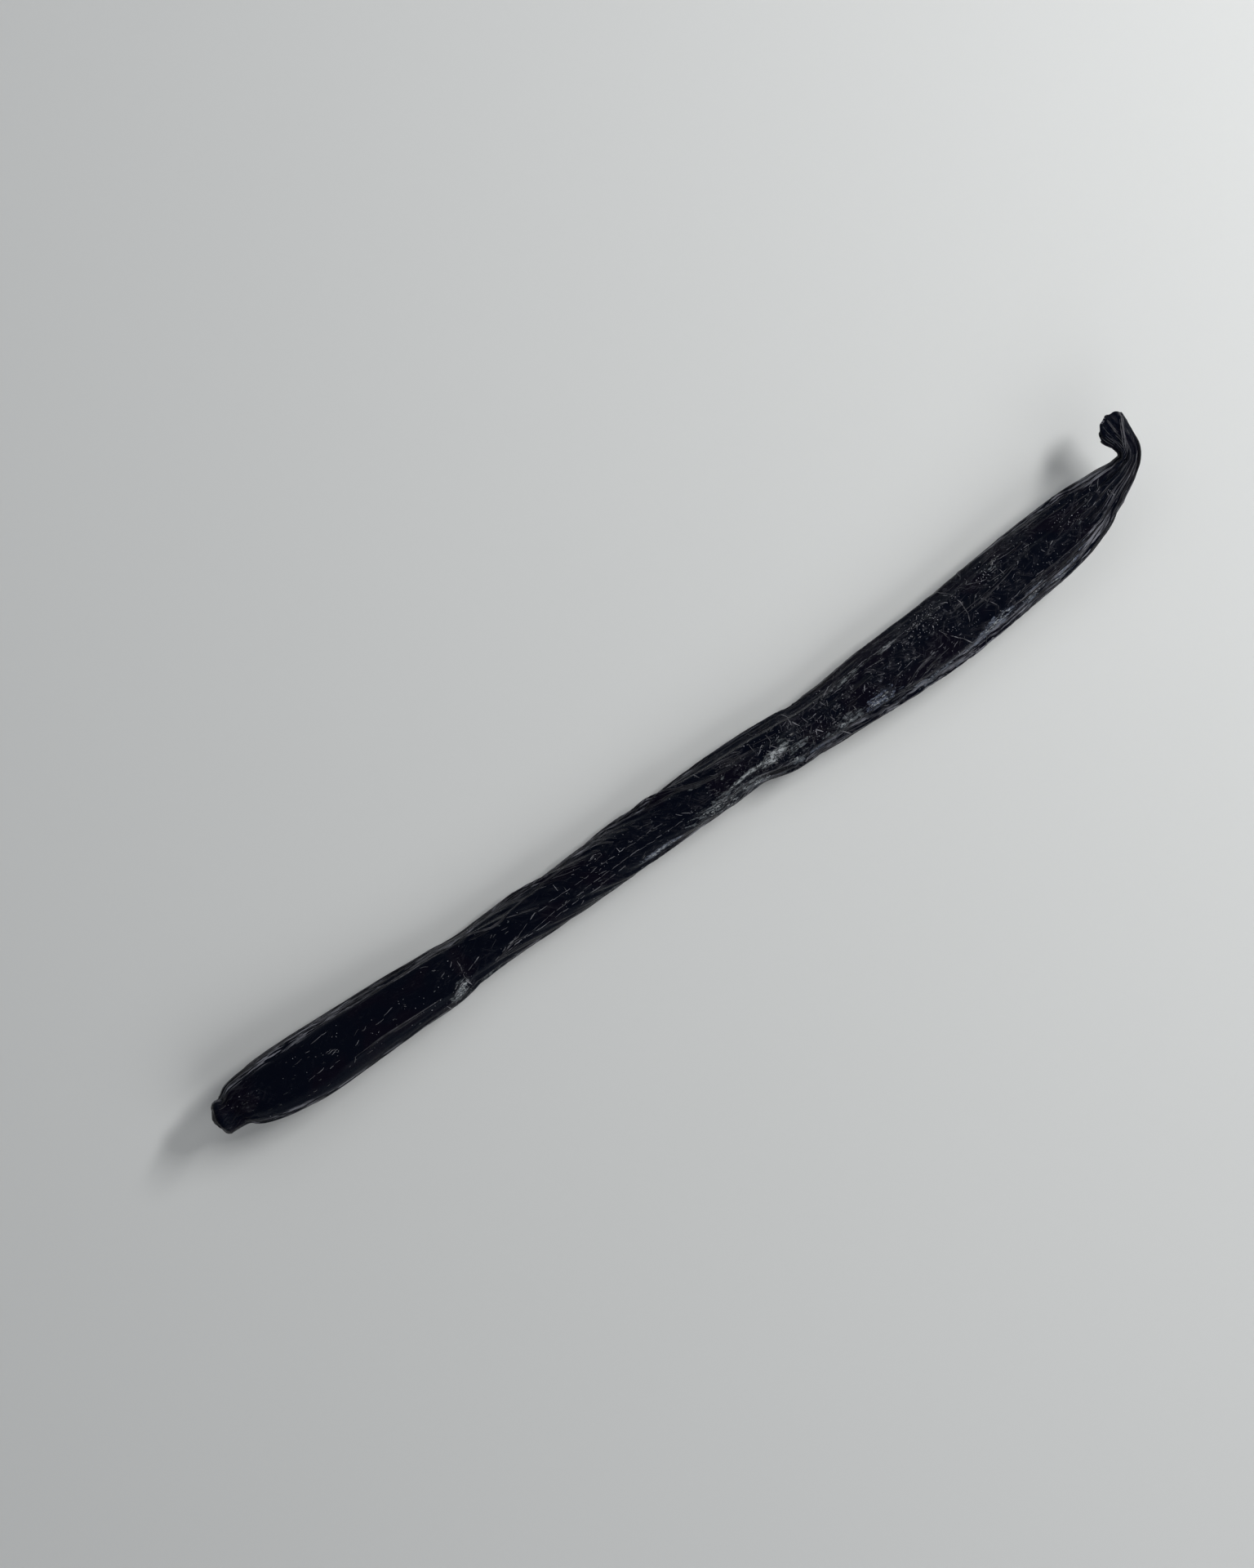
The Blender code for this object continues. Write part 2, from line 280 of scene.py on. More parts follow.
# Long hair-thin creases, seen from above: (x, y) points in mm.
CREASE_PATHS = (
    ((-38.7, -4.9), (-35.5, -4.1), (-33.5, -3.9), (-31.5, -3.3), (-29.5, -2.6), (-27.2, -2.4)),
    ((-27.0, -2.4), (-23.5, -2.45), (-21.5, -2.5), (-15.5, -2.25), (-10.5, -2.6), (-5.7, -2.4)),
    ((-38.0, -4.9), (-33.0, -4.6), (-28.5, -4.2), (-23.5, -3.9), (-16.0, -3.9), (-10.5, -3.8), (-3.0, -4.1)),
    ((-32.5, -4.7), (-28.0, -4.8), (-23.0, -4.7), (-17.0, -4.7), (-14.0, -4.6)),
    ((-24.7, -0.5), (-24.6, -2.0)),
    ((-23.5, -1.7), (-23.6, -4.0)),
    ((-18.2, -0.9), (-17.0, -0.5), (-16.0, -0.8), (-15.9, -2.2)),
    ((-16.1, -2.5), (-16.0, -3.4)),
    ((-13.6, -1.6), (-13.5, -2.5)),
    ((-59.2, -2.4), (-57.0, -2.1), (-55.2, -1.8)),
    ((-69.0, 1.0), (-67.0, 1.1), (-65.2, 1.0)),
    ((-72.0, -3.3), (-69.0, -3.1)),
    ((-68.5, -3.7), (-65.7, -3.2)),
    ((-64.8, -5.0), (-63.6, -3.5)),
    ((-46.7, -2.1), (-45.2, -1.7)),
    ((-43.3, -1.5), (-43.5, -3.0), (-43.8, -4.2), (-43.4, -5.6)),
    ((-42.8, -3.9), (-40.2, -3.0)),
    ((-48.4, -6.0), (-47.8, -6.9)),
    ((-47.4, -6.8), (-46.0, -6.2), (-44.8, -5.9)),
    ((-46.8, -6.2), (-45.4, -5.5), (-44.0, -5.2)),
    ((-46.4, -5.6), (-45.0, -4.9), (-44.0, -4.6)),
    ((-46.6, -5.0), (-45.2, -4.5)),
    ((-45.6, -6.7), (-44.4, -6.3), (-43.6, -6.0)),
    ((-43.2, -1.8), (-43.7, -3.4)),
    ((-43.9, -4.4), (-43.5, -5.8)),
    ((-44.4, -4.6), (-43.9, -6.4)),
    ((48.8, 1.9), (50.2, 0.7), (50.7, -1.2), (50.4, -3.2), (49.6, -4.9)),
    ((45.4, -3.2), (46.2, -4.4), (47.6, -6.0), (48.5, -7.4)),
    ((53.3, -2.3), (54.2, -3.8), (55.0, -5.4)),
    ((11.5, -0.1), (12.0, -2.6)),
    ((1.8, 1.0), (3.0, -0.5)),
    ((29.5, -1.8), (29.4, -3.5)),
    ((27.8, -5.0), (28.4, -5.6)),
    ((25.0, -1.0), (29.0, -0.4), (33.0, -0.2), (37.0, -0.3), (41.0, 0.1)),
    ((27.0, -1.3), (31.0, -1.2), (36.0, -1.4)),
    ((36.0, -4.8), (38.5, -4.3), (41.0, -3.9)),
    ((37.0, -6.2), (40.0, -5.6), (43.0, -5.0), (45.5, -4.9)),
    ((55.8, -5.5), (60.0, -4.9), (63.5, -4.2)),
    ((57.5, 0.2), (59.0, 1.7)),
    ((57.0, -0.3), (58.7, -0.2)),
)

# Shorter and broader ones.
BROAD_PATHS = (
    ((-44.8, -1.9), (-44.1, -1.2)),
    ((-43.4, -2.4), (-43.6, -3.6)),
    ((-43.9, -4.6), (-43.4, -6.0)),
    ((-47.4, -6.5), (-45.9, -5.5)),
    ((-46.6, -5.5), (-45.0, -4.7)),
    ((-36.2, -4.6), (-34.0, -4.0)),
    ((17.1, 1.4), (19.0, -0.5)),
    ((19.0, -1.3), (20.0, -2.9)),
    ((20.5, -1.4), (21.0, -2.8)),
    ((21.4, -4.3), (22.3, -5.4)),
    ((21.5, -4.4), (21.1, -5.3)),
    ((22.6, -3.2), (23.9, -3.0)),
    ((23.8, -6.3), (25.6, -7.6)),
    ((24.2, -1.0), (25.0, -2.5)),
    ((24.9, -2.4), (25.4, -1.5)),
    ((25.2, -1.0), (27.0, 0.0)),
    ((30.8, -3.8), (31.6, -2.8)),
    ((36.2, -0.5), (39.6, -0.1)),
    ((44.9, -2.2), (45.1, -1.6)),
    ((47.9, 0.5), (49.0, -0.1)),
    ((49.2, 1.2), (50.1, 0.5)),
    ((47.6, -6.0), (48.5, -7.6)),
    ((57.0, -0.1), (58.6, 0.0)),
    ((58.0, 0.5), (59.2, 1.6)),
    ((58.4, -0.5), (58.5, -1.5)),
    ((61.6, 2.6), (62.2, 2.8)),
    ((63.2, -3.2), (63.4, -3.7)),
    ((65.1, -1.8), (65.4, -2.5)),
    ((66.5, -1.9), (67.8, -1.7)),
    ((74.8, -1.0), (76.2, -0.5)),
)

# Wider folds of the skin that catch a little light, in the same coordinates.
FOLD_PATHS = (
    ((-43.0, 1.3), (-41.7, 0.9), (-40.0, 0.5), (-38.0, 0.1), (-36.0, -0.4), (-34.2, -0.5), (-32.5, -0.2)),
    ((-40.5, 0.3), (-38.5, -0.2), (-36.5, -0.5)),
    ((-34.0, -0.5), (-32.0, -0.1), (-30.0, 0.1), (-28.5, 0.3), (-26.0, 0.1)),
    ((-33.6, -0.5), (-32.0, -1.0), (-30.5, -1.6), (-28.4, -2.2)),
    ((-30.0, 0.6), (-26.0, 0.5), (-22.0, 0.3), (-19.5, -0.4)),
    ((-27.0, 0.9), (-22.0, 0.7), (-18.0, 0.4)),
    ((-39.0, -4.9), (-37.0, -4.6), (-35.0, -4.4), (-32.0, -4.6)),
    ((-38.8, -5.1), (-36.0, -4.9), (-33.5, -4.7)),
    ((-65.0, -4.4), (-60.0, -4.35), (-55.0, -4.4), (-50.0, -4.7), (-48.0, -4.8)),
    ((-62.0, -4.6), (-57.0, -4.6), (-52.0, -4.75)),
    ((-17.0, 1.1), (-15.2, 0.4), (-13.4, -0.5)),
    ((-16.2, 1.2), (-14.0, 0.3), (-12.2, -0.9)),
    ((-15.0, 1.3), (-12.5, 0.4), (-10.5, -0.3)),
    ((-5.5, 1.4), (-3.0, 0.8), (0.0, -0.2), (4.0, -1.2), (8.0, -2.0)),
    ((-4.5, 1.5), (-1.0, 0.3), (2.5, -0.6), (6.5, -1.5)),
    ((-5.0, 0.9), (-2.0, 0.1), (1.5, -0.9), (5.0, -1.8)),
    ((3.0, 0.1), (7.0, -0.4), (11.0, -0.9)),
    ((4.0, -0.5), (8.0, -1.0), (12.0, -1.4)),
    ((46.0, -2.9), (51.0, -2.8), (55.0, -2.5), (59.0, -2.0), (62.0, -1.4)),
    ((49.0, -3.3), (54.0, -2.9), (58.0, -2.4)),
    ((36.0, -6.8), (39.0, -6.0), (42.0, -5.4), (45.0, -5.1)),
    ((38.5, -7.0), (41.5, -6.4), (45.0, -5.9)),
    ((56.0, -5.4), (60.0, -4.9), (65.0, -4.5), (70.0, -3.9), (73.5, -3.1)),
    ((60.0, -6.6), (65.0, -5.6), (70.0, -4.6), (74.0, -3.6)),
)

# Short strokes in bunches: from x to x, from share to share across the back (-1 is the -Y edge), bunches,
# greatest length, slope in degrees and its spread.
STROKE_STRETCHES = (
    (-79.0, -46.0, -0.75, 0.45, 9, 1.5, 8, 10),
    (-42.0, -4.0, -0.85, 0.75, 8, 1.8, 3, 12),
    (-20.0, 6.0, -0.2, 0.75, 7, 2.0, -32, 10),
    (2.0, 16.0, -0.5, 0.7, 16, 1.5, -20, 30),
    (13.0, 27.0, -0.75, 0.5, 22, 1.4, 70, 25),
    (11.0, 30.0, -0.85, 0.6, 24, 1.3, 0, 20),
    (24.0, 48.0, -0.75, 0.7, 26, 1.2, 5, 15),
    (24.0, 48.0, -0.75, 0.7, 8, 1.1, 75, 30),
    (46.0, 66.0, -0.75, 0.8, 18, 1.2, 5, 15),
    (50.0, 62.0, -0.2, 0.8, 6, 1.2, 55, 25),
    (60.0, 80.0, -0.6, 0.8, 16, 1.5, 14, 10),
    (20.0, 62.0, -0.97, -0.72, 24, 2.0, 8, 12),
)
BUNCH = 3  # strokes in one bunch, nearly level with each other
BUNCH_STEP = 0.5  # mm between them


class Strands(NamedTuple):
    """Raised threads of the skin: from place to place along the spine, from angle to angle round it, their count,
    greatest length and half width in mm, and how much of the pod's twist they follow."""

    start: float
    end: float
    turn_from: float
    turn_to: float
    count: int
    long: float
    wide: float
    follow: float


STRANDS = (
    Strands(2.0, 46.0, 0.10, 0.80, 90, 9.0, 0.10, 0.0),  # +Y edge of the blossom third
    Strands(4.0, 30.0, 2.80, 3.20, 30, 7.0, 0.09, 0.0),  # -Y edge of it
    Strands(28.0, 46.0, 2.85, 3.20, 10, 7.0, 0.08, 0.0),
    Strands(0.6, 5.0, 0.30, 2.90, 10, 2.5, 0.06, 0.0),  # behind the collar
    Strands(44.0, 82.0, 0.15, 0.65, 60, 9.0, 0.09, 0.2),
    Strands(80.0, 98.0, 0.10, 0.45, 14, 8.0, 0.08, 0.2),
    Strands(44.0, 86.0, 2.90, 3.20, 12, 7.0, 0.08, 0.0),
    Strands(56.0, 80.0, 0.60, 1.20, 9, 6.0, 0.07, 0.8),
    Strands(86.0, 102.0, 2.20, 2.90, 40, 5.0, 0.09, 0.0),  # crumpled flank before the bend
    Strands(96.0, 150.0, 0.10, 0.50, 20, 6.0, 0.09, 0.0),
    Strands(98.0, 150.0, 2.50, 3.20, 70, 6.0, 0.10, 0.0),
    Strands(100.0, 150.0, 0.60, 2.45, 26, 4.0, 0.07, 0.0),
    Strands(142.0, 171.0, 0.10, 1.30, 24, 6.0, 0.09, 0.0),
    Strands(144.0, 171.0, 2.15, 3.10, 56, 10.0, 0.12, 0.0),  # they close in on the neck
    Strands(159.0, 171.0, 1.20, 2.20, 20, 7.0, 0.10, 0.0),
    Strands(172.0, 177.2, 0.30, 1.60, 14, 4.0, 0.05, 0.0),  # fan of the torn stem
    Strands(171.5, 177.4, 2.90, 3.30, 8, 4.0, 0.07, 0.0),
)

# Straight lines on the stem, from place and angle to place and angle round it: the crest of its fold, drawn fully pale
# as a painted highlight.
STEM_LINES = (
    (171.4, 1.05, 176.9, 2.30),
    (171.9, 1.00, 176.4, 2.12),
    (172.2, 1.25, 177.0, 2.45),
    (170.6, 1.10, 174.0, 1.75),
)

# Specks: from x to x, from share to share across the back, count of places, specks at each, size in mm.
SPECK_STRETCHES = (
    (-84.0, -44.0, -0.85, 0.6, 44, 1, 0.085),
    (-68.0, -44.0, -0.8, -0.2, 6, 3, 0.06),
    (-42.0, 4.0, -0.8, 0.8, 40, 1, 0.07),
    (4.0, 24.0, -0.7, 0.7, 24, 5, 0.07),
    (24.0, 60.0, -0.7, 0.7, 34, 4, 0.08),
    (41.0, 52.0, 0.2, 0.8, 8, 10, 0.09),
    (56.0, 60.0, 0.2, 0.8, 4, 10, 0.09),
    (58.0, 80.0, -0.6, 0.6, 30, 3, 0.08),
)


# ---- the pod's main form, as in its solid ----


def curve_through(knots, values, places):
    """Cubic pieces through the values at the knots, their slopes matching at each knot."""
    slopes = np.gradient(values, knots, axis=0)
    piece = np.clip(np.searchsorted(knots, places, side="right") - 1, 0, len(knots) - 2)
    span = knots[piece + 1] - knots[piece]
    t = ((places - knots[piece]) / span)[:, None]
    low, high = values[piece], values[piece + 1]
    rise_low, rise_high = slopes[piece] * span[:, None], slopes[piece + 1] * span[:, None]
    bend = (1 + 2 * t) * (1 - t) ** 2 * low + t**2 * (3 - 2 * t) * high
    return bend + t * (1 - t) ** 2 * rise_low - t**2 * (1 - t) * rise_high


def ramp(value, start, end):
    """0 before start, 1 after end, and a smooth step between them."""
    t = np.clip((value - start) / (end - start), 0, 1)
    return t * t * (3 - 2 * t)


def window(value, start, end, soft):
    """1 between start and end, falling smoothly to 0 over the soft length on both sides."""
    return ramp(value, start - soft, start) * (1 - ramp(value, end, end + soft))


def station_table():
    """Distance along the spine at each station, and its centre (x, y, z), width and depth there."""
    along, side, lift, width, depth = np.array(STATIONS).T
    table = np.stack([along, side, lift + depth / 2, width, depth], axis=1)
    steps = np.linalg.norm(np.diff(table[:, :3], axis=0), axis=1)
    return np.concatenate([[0.0], np.cumsum(steps)]), table


def ring_places(length):
    """Places of the rings along the spine, at each stretch's own spacing."""
    runs = []
    for start, end, spacing in STRETCHES:
        end = end or length
        runs.append(np.linspace(start, end, max(2, round((end - start) / spacing)), endpoint=False))
    return np.concatenate(runs + [[length]])


def twist(s):
    return TWIST * ramp(s, TWIST_FROM, TWIST_TO)


def aside(a, middle):
    """Angle from middle, between minus and plus half a turn."""
    return (a - middle + np.pi) % (2 * np.pi) - np.pi


def long_folds(s, a):
    """Sum of cosines round the pod that lean with its twist, smoother on the blossom third's back."""
    turned = a - twist(s)
    folds = sum(deep * np.cos(count * turned + turn) for count, deep, turn in FOLDS)
    back = np.clip(np.sin(a), 0, 1) ** 2
    folds = folds * (1 - SMOOTH_SHARE * back * (1 - ramp(s, *SMOOTH_BACK)))
    folds = folds * ramp(s, *FOLDS_GROW)
    count, high = NECK_RIDGES
    cords = high * ramp(s, *NECK_GROW) * np.cos(count * turned)
    return (folds + cords) * (1 - (1 - STEM_SHARE) * ramp(s, *STEM_FLATTENS))


def kink_relief(s, a):
    """A valley shaped like a bell curve across each kink, and a lower bulge behind it."""
    height = np.zeros_like(s * a)
    for kink in KINKS:
        off = (s - kink.place - kink.lean * np.cos(a)) / kink.reach
        share = 1 - kink.spread * (1 - np.cos(a - kink.side)) / 2
        valley = -kink.dip * np.exp(-(off**2))
        height += share * (valley + kink.bulge * np.exp(-(((off + BULGE_BEHIND) / BULGE_SPREAD) ** 2)))
    return height


def crest_turn(s, length):
    return np.interp(s, (length - FLARE_REACH - CREST_BEFORE, length - CREST_SHORT), CREST_TURN)


def stem_crest(s, a, length):
    """The fold along the back of the torn stem, a bell curve round an angle that changes along it."""
    start = length - FLARE_REACH - CREST_BEFORE
    share = ramp(s, start + CREST_FADE[0], start + CREST_FADE[1])
    return CREST * share * np.exp(-((aside(a, crest_turn(s, length)) / CREST_WIDTH) ** 2))


def outline(a, width, depth):
    """A superellipse with three faint seams: (across, up) for each angle."""
    power = 2 / SQUARENESS
    seams = 1 + THREE_SEAMS * np.cos(3 * (a - SEAM_TURN))
    across = width / 2 * np.sign(np.cos(a)) * np.abs(np.cos(a)) ** power
    up = depth / 2 * np.sign(np.sin(a)) * np.abs(np.sin(a)) ** power
    return seams * across, seams * up


def rim_offset(s, a, length):
    """How far forward the points of a section are moved, so that the stem ends in a bulging, ragged rim."""
    share = np.clip((s - length + FLARE_REACH) / FLARE_REACH, 0, 1) ** 1.5
    level = np.cos(a)
    count, long = RIM_TEETH
    often, turn = TEETH_UNEVEN
    teeth = long * np.cos(count * a) * np.cos(often * a + turn)
    return share * (RIM_LEAN * level + RIM_BULGE * level**2 + teeth * share**3)


# ---- the fine relief of the dried skin ----


def bumps(s, b, every, round_count, seed):
    """Smooth random heights of about -1 to 1: cubic B-splines over seeded numbers on a grid.

    One cell is `every` mm long, and round_count cells go round the pod, so that it closes on itself."""
    rng = np.random.default_rng(seed)
    s, b = np.broadcast_arrays(s, b)
    u, v = s / every + 2.0, (b / (2 * np.pi)) % 1.0 * round_count
    numbers = rng.uniform(-1, 1, (int(u.max()) + 4, round_count))
    iu, iv = np.floor(u).astype(int), np.floor(v).astype(int)
    fu, fv = u - iu, v - iv

    def weights(f):
        return (1 - f) ** 3 / 6, (3 * f**3 - 6 * f**2 + 4) / 6, (-3 * f**3 + 3 * f**2 + 3 * f + 1) / 6, f**3 / 6

    total = 0.0
    for i, wu in enumerate(weights(fu)):
        for j, wv in enumerate(weights(fv)):
            total = total + wu * wv * numbers[iu + i - 1, (iv + j - 1) % round_count]
    return total * 2.2


def sharp_ridges(field, width):
    """1 along the lines where the field is nought, falling off to both sides over the width."""
    return np.exp(-np.abs(field) / width)


def share_across(s, a):
    """-1 on the -Y edge, 1 on the +Y edge."""
    return np.sign(np.cos(a)) * np.abs(np.cos(a)) ** (2 / SQUARENESS)


def angle_of(share, under=False):
    """The angle round the section at a share across its back."""
    a = np.arccos(np.sign(share) * np.abs(share) ** (SQUARENESS / 2))
    return -a if under else a


def edge_ridges(s, b, w, a):
    """Fine wrinkles along both edges and the belly: two sizes of long noise with rounded crests."""
    near_edge = 1 - ramp(np.sin(a), 0.35, 0.85)
    third = bumps(s, w, 11.0, 58, 2)
    fine = bumps(s, w, 6.0, 104, 3)
    share = 0.10 + 0.90 * near_edge
    return share * (0.11 * third + 0.07 * fine - 0.06 * sharp_ridges(third, 0.10))


def main_folds(s, a, radius):
    """Each fold is a bell curve across the path it follows along the pod."""
    height = np.zeros_like(a)
    for fold in LONG_FOLD_PATHS:
        path = np.array(fold.path)
        at, middle = spine_places(path[:, 0], path[:, 1])
        d = aside(a, np.interp(s, at, middle)) * radius
        share = window(s, at[0] + fold.fade, at[-1] - fold.fade, fold.fade)
        height += share * fold.height * np.exp(-((d / fold.width) ** 2))
    return height


def spine_places(x, y):
    """Distance along the spine and angle of points on the pod's back, seen from above."""
    knots, table = station_table()
    body = slice(0, 21)
    s = np.interp(x, table[body, 0], knots[body])
    middle = np.interp(s, knots, table[:, 1])
    half = np.interp(s, knots, table[:, 3]) / 2
    return s, angle_of(np.clip((y - middle) / half, -0.999, 0.999))


def crumples(s, a, b, w):
    """Where the pod was bent its skin is crumpled: creases that cross, and small steps that face the stem."""
    height = np.zeros_like(a)
    share = np.zeros_like(a)
    for patch in CRUMPLES:
        at, middle = spine_places(np.array([patch.x]), np.array([patch.y]))
        off = ((s - at) / patch.long) ** 2 + (aside(a, middle) / patch.round) ** 2
        here = patch.much * np.exp(-(off**1.5))
        share = np.maximum(share, here)
        phase = (s + patch.slant * aside(a, middle) * 4) / patch.step + 0.6 * bumps(s, b, 2.0, 30, patch.seed)
        steps = 0.5 - phase % 1.0
        height += here * patch.high * steps * (0.5 + 0.5 * bumps(s, b, 1.6, 26, patch.seed + 1))
    cells = bumps(s, w + 0.3 * bumps(s, b, 3.0, 18, 21), 1.9, 24, 6)
    small_cells = bumps(s + 0.5 * bumps(s, b, 2.0, 30, 22), w, 0.95, 44, 7)
    crossing = 0.16 * sharp_ridges(cells, 0.10) + 0.09 * sharp_ridges(small_cells, 0.14) + 0.06 * cells
    return height + share * crossing, share


def quiet_back(s, a):
    """1 on the back where few folds show: most of the blossom third, and less so the middle up to the bend."""
    blossom = window(s, 8.0, 43.0, 4.0) * window(a, 0.95, 2.70, 0.20)
    middle = window(s, 45.0, 84.0, 5.0) * window(a, 1.15, 2.85, 0.25)
    return np.maximum(blossom, 0.85 * middle)


def fine_relief(s, a, length, radius):
    """Height in mm that is added to the solid's own folds, and how crumpled the skin is there, 0 to 1."""
    b = a - twist(s)
    wander = 0.09 * bumps(s, b, 13.0, 9, 11) + 0.03 * bumps(s, b, 4.5, 23, 12)
    w = b + wander
    body = ramp(s, 1.0, 3.5) * (1 - ramp(s, length - 6.0, length - 4.0))
    back = np.clip(np.sin(a), 0, 1)
    smooth_back = back**1.2 * (1 - ramp(s, 40, 47))

    broad = bumps(s, w, 19.0, 19, 1)
    lines = 0.12 * broad - 0.09 * sharp_ridges(broad, 0.07)
    lines = lines * (1 - 0.9 * smooth_back) * (1 - 0.8 * quiet_back(s, a)) + edge_ridges(s, b, w, a)
    plates = bumps(s, w, 4.6, 17, 31)
    on_flank = np.exp(-((aside(a, 2.55) / 0.42) ** 2)) * window(s, 92, 152, 8)
    lines = lines - 0.16 * on_flank * sharp_ridges(plates, 0.06) + 0.08 * on_flank * plates

    neck = ramp(s, 138, 158) * (1 - ramp(s, 170.5, 173.5))
    cord = bumps(s, w, 12.0, 46, 41)
    cord_fine = bumps(s, w, 6.0, 90, 42)
    lines = lines + neck * (0.11 * cord + 0.10 * sharp_ridges(cord, 0.10) + 0.05 * cord_fine) * np.minimum(1, radius / 3)

    rough_back = window(s, 92, 156, 10) * (0.30 + 0.5 * np.abs(bumps(s, b, 7.0, 8, 5)))
    crumple, share = crumples(s, a, b, w)
    cells = bumps(s, w + 0.35 * bumps(s, b, 3.5, 16, 23), 2.6, 22, 24)
    small_cells = bumps(s, w, 1.2, 48, 25)
    patchwork = 0.10 * sharp_ridges(cells, 0.08) + 0.06 * sharp_ridges(small_cells, 0.12)
    relief = body * (lines + crumple + rough_back * patchwork + main_folds(s, a, radius))

    # behind the collar the skin is drawn together
    drawn = window(s, 1.4, 5.0, 1.2)
    gathers = bumps(s, w, 2.6, 30, 99)
    relief = relief + drawn * (0.12 * gathers - 0.12 * sharp_ridges(bumps(s, w, 3.4, 24, 100), 0.12))

    # the torn stem: thin ridges that fan out from the neck
    stem = ramp(s, length - 6.0, length - 4.2)
    fan = bumps(s * 0.6, b + 0.03 * (s - length), 3.0, 40, 51)
    relief = relief + stem * (0.05 * fan + 0.06 * sharp_ridges(fan, 0.10))
    return relief, np.clip(share + rough_back * 0.7, 0, 1) * body


def surface(s, a):
    """The skin at any places along the spine and angles round it, and how crumpled it is there.

    The centre of the section, plus its outline and relief across and up, plus the rim's offset."""
    knots, table = station_table()
    length = knots[-1]
    s, a = np.broadcast_arrays(s, a)
    shape = s.shape
    s, a = s.ravel(), a.ravel()
    rows = curve_through(knots, table, s)
    ahead = curve_through(knots, table, np.minimum(s + SMALL_STEP, length))
    behind = curve_through(knots, table, np.maximum(s - SMALL_STEP, 0.0))
    forward = ahead[:, :3] - behind[:, :3]
    forward /= np.linalg.norm(forward, axis=1, keepdims=True)
    leftward = np.cross([0.0, 0.0, 1.0], forward)
    leftward /= np.linalg.norm(leftward, axis=1, keepdims=True)
    upward = np.cross(forward, leftward)

    across, up = outline(a, rows[:, 3], rows[:, 4])
    radius = np.hypot(across, up)
    fine, crumpled = fine_relief(s, a, length, radius)
    uneven = 0.75 + 0.35 * bumps(s, a - twist(s), 9.0, 9, 61)
    in_stem = ramp(s, length - 6.0, length - 4.0)
    relief = long_folds(s, a) * uneven * (1 - 0.7 * in_stem) * (1 - 0.8 * quiet_back(s, a))
    relief = relief + kink_relief(s, a) * 0.4
    place, plus, minus = np.array(SWELLS).T
    relief = relief + np.interp(s, place, plus) * np.clip(np.cos(a), 0, 1) ** 2
    relief = relief + np.interp(s, place, minus) * np.clip(-np.cos(a), 0, 1) ** 2
    collar = 1 - ramp(s, 1.6, 3.4)
    relief = relief + collar * (0.14 * bumps(s, a, 1.4, 16, 97) - 0.10 * sharp_ridges(bumps(s, a, 1.8, 13, 98), 0.15))
    relief = relief + stem_crest(s, a, length) + fine
    grown = 1 + relief / radius
    on = rim_offset(s, a, length) - COLLAR_BULGE * (1 - ramp(s, 0.0, COLLAR_REACH)) * np.sin(a) ** 2
    points = rows[:, :3] + (across * grown)[:, None] * leftward + (up * grown)[:, None] * upward
    points = points + on[:, None] * forward
    points[:, 2] = np.maximum(points[:, 2], 0.0)
    points[:, :2] -= MIDDLE
    return points.reshape(*shape, 3), crumpled.reshape(shape)


def surface_and_normal(s, a):
    """Points of the skin and the directions away from it, by small steps along and round it."""
    along = surface(s + SMALL_STEP, a)[0] - surface(s - SMALL_STEP, a)[0]
    round_it = surface(s, a + SMALL_TURN)[0] - surface(s, a - SMALL_TURN)[0]
    normal = np.cross(along, round_it)
    normal /= np.linalg.norm(normal, axis=-1, keepdims=True)
    return surface(s, a)[0], normal


def capped(rim, profile, middle_out, uneven=0.0):
    """Rings from a rim inwards, and the point in their middle: profile gives each ring's size and place."""
    middle = rim.mean(axis=0)
    across, up = rim[0] - middle, rim[len(rim) // 4] - middle
    outward = np.cross(up, across)
    outward /= np.linalg.norm(outward)
    share, out = np.array(profile).T[:, :, None]
    turn = np.arange(len(rim)) * 2 * np.pi / len(rim)
    out = out + uneven * bumps(3 * share, turn, 0.5, 18, 101)
    rings = middle + share[..., None] * (rim - middle) + out[..., None] * outward
    return rings, middle + middle_out * outward


def skin_tints(s, a):
    """How lined the skin is, how much grey film lies on it, partly dust and partly a painted sheen, and how blue that
    film is, a painted bluish reflection, each 0 to 1.
    """
    lined = np.interp(s, *np.array(LINED).T)
    lined = np.maximum(lined, 0.8 * (1 - ramp(np.sin(a), 0.2, 0.7)))
    film_and_sheen = np.zeros_like(a)
    blue = np.zeros_like(a)
    for patch in FILMS_AND_SHEENS:
        at, middle = spine_places(np.array([patch.x]), np.array([patch.y]))
        ahead = s - at
        off = (ahead / patch.long) ** 2 + ((aside(a, middle) * 4.2 + patch.slant * ahead) / patch.across) ** 2
        here = patch.much * np.exp(-(off**1.5))
        blue = np.where(here > film_and_sheen, patch.blue, blue)
        film_and_sheen = np.maximum(film_and_sheen, here)
    return np.stack([lined, film_and_sheen, blue], axis=-1)


def edge_band(s, a):
    """1 in the ridged bands along the edges and under the belly, 0 on the back between them."""
    place, plus, minus = np.array(BANDS).T
    wander = 0.09 * bumps(s, a, 4.0, 9, 95)
    off = aside(a, np.pi / 2) + wander
    plus, minus = np.interp(s, place, plus), np.interp(s, place, minus)
    return np.maximum(1 - ramp(off, plus - 0.10, plus + 0.08), ramp(off, minus - 0.08, minus + 0.10))


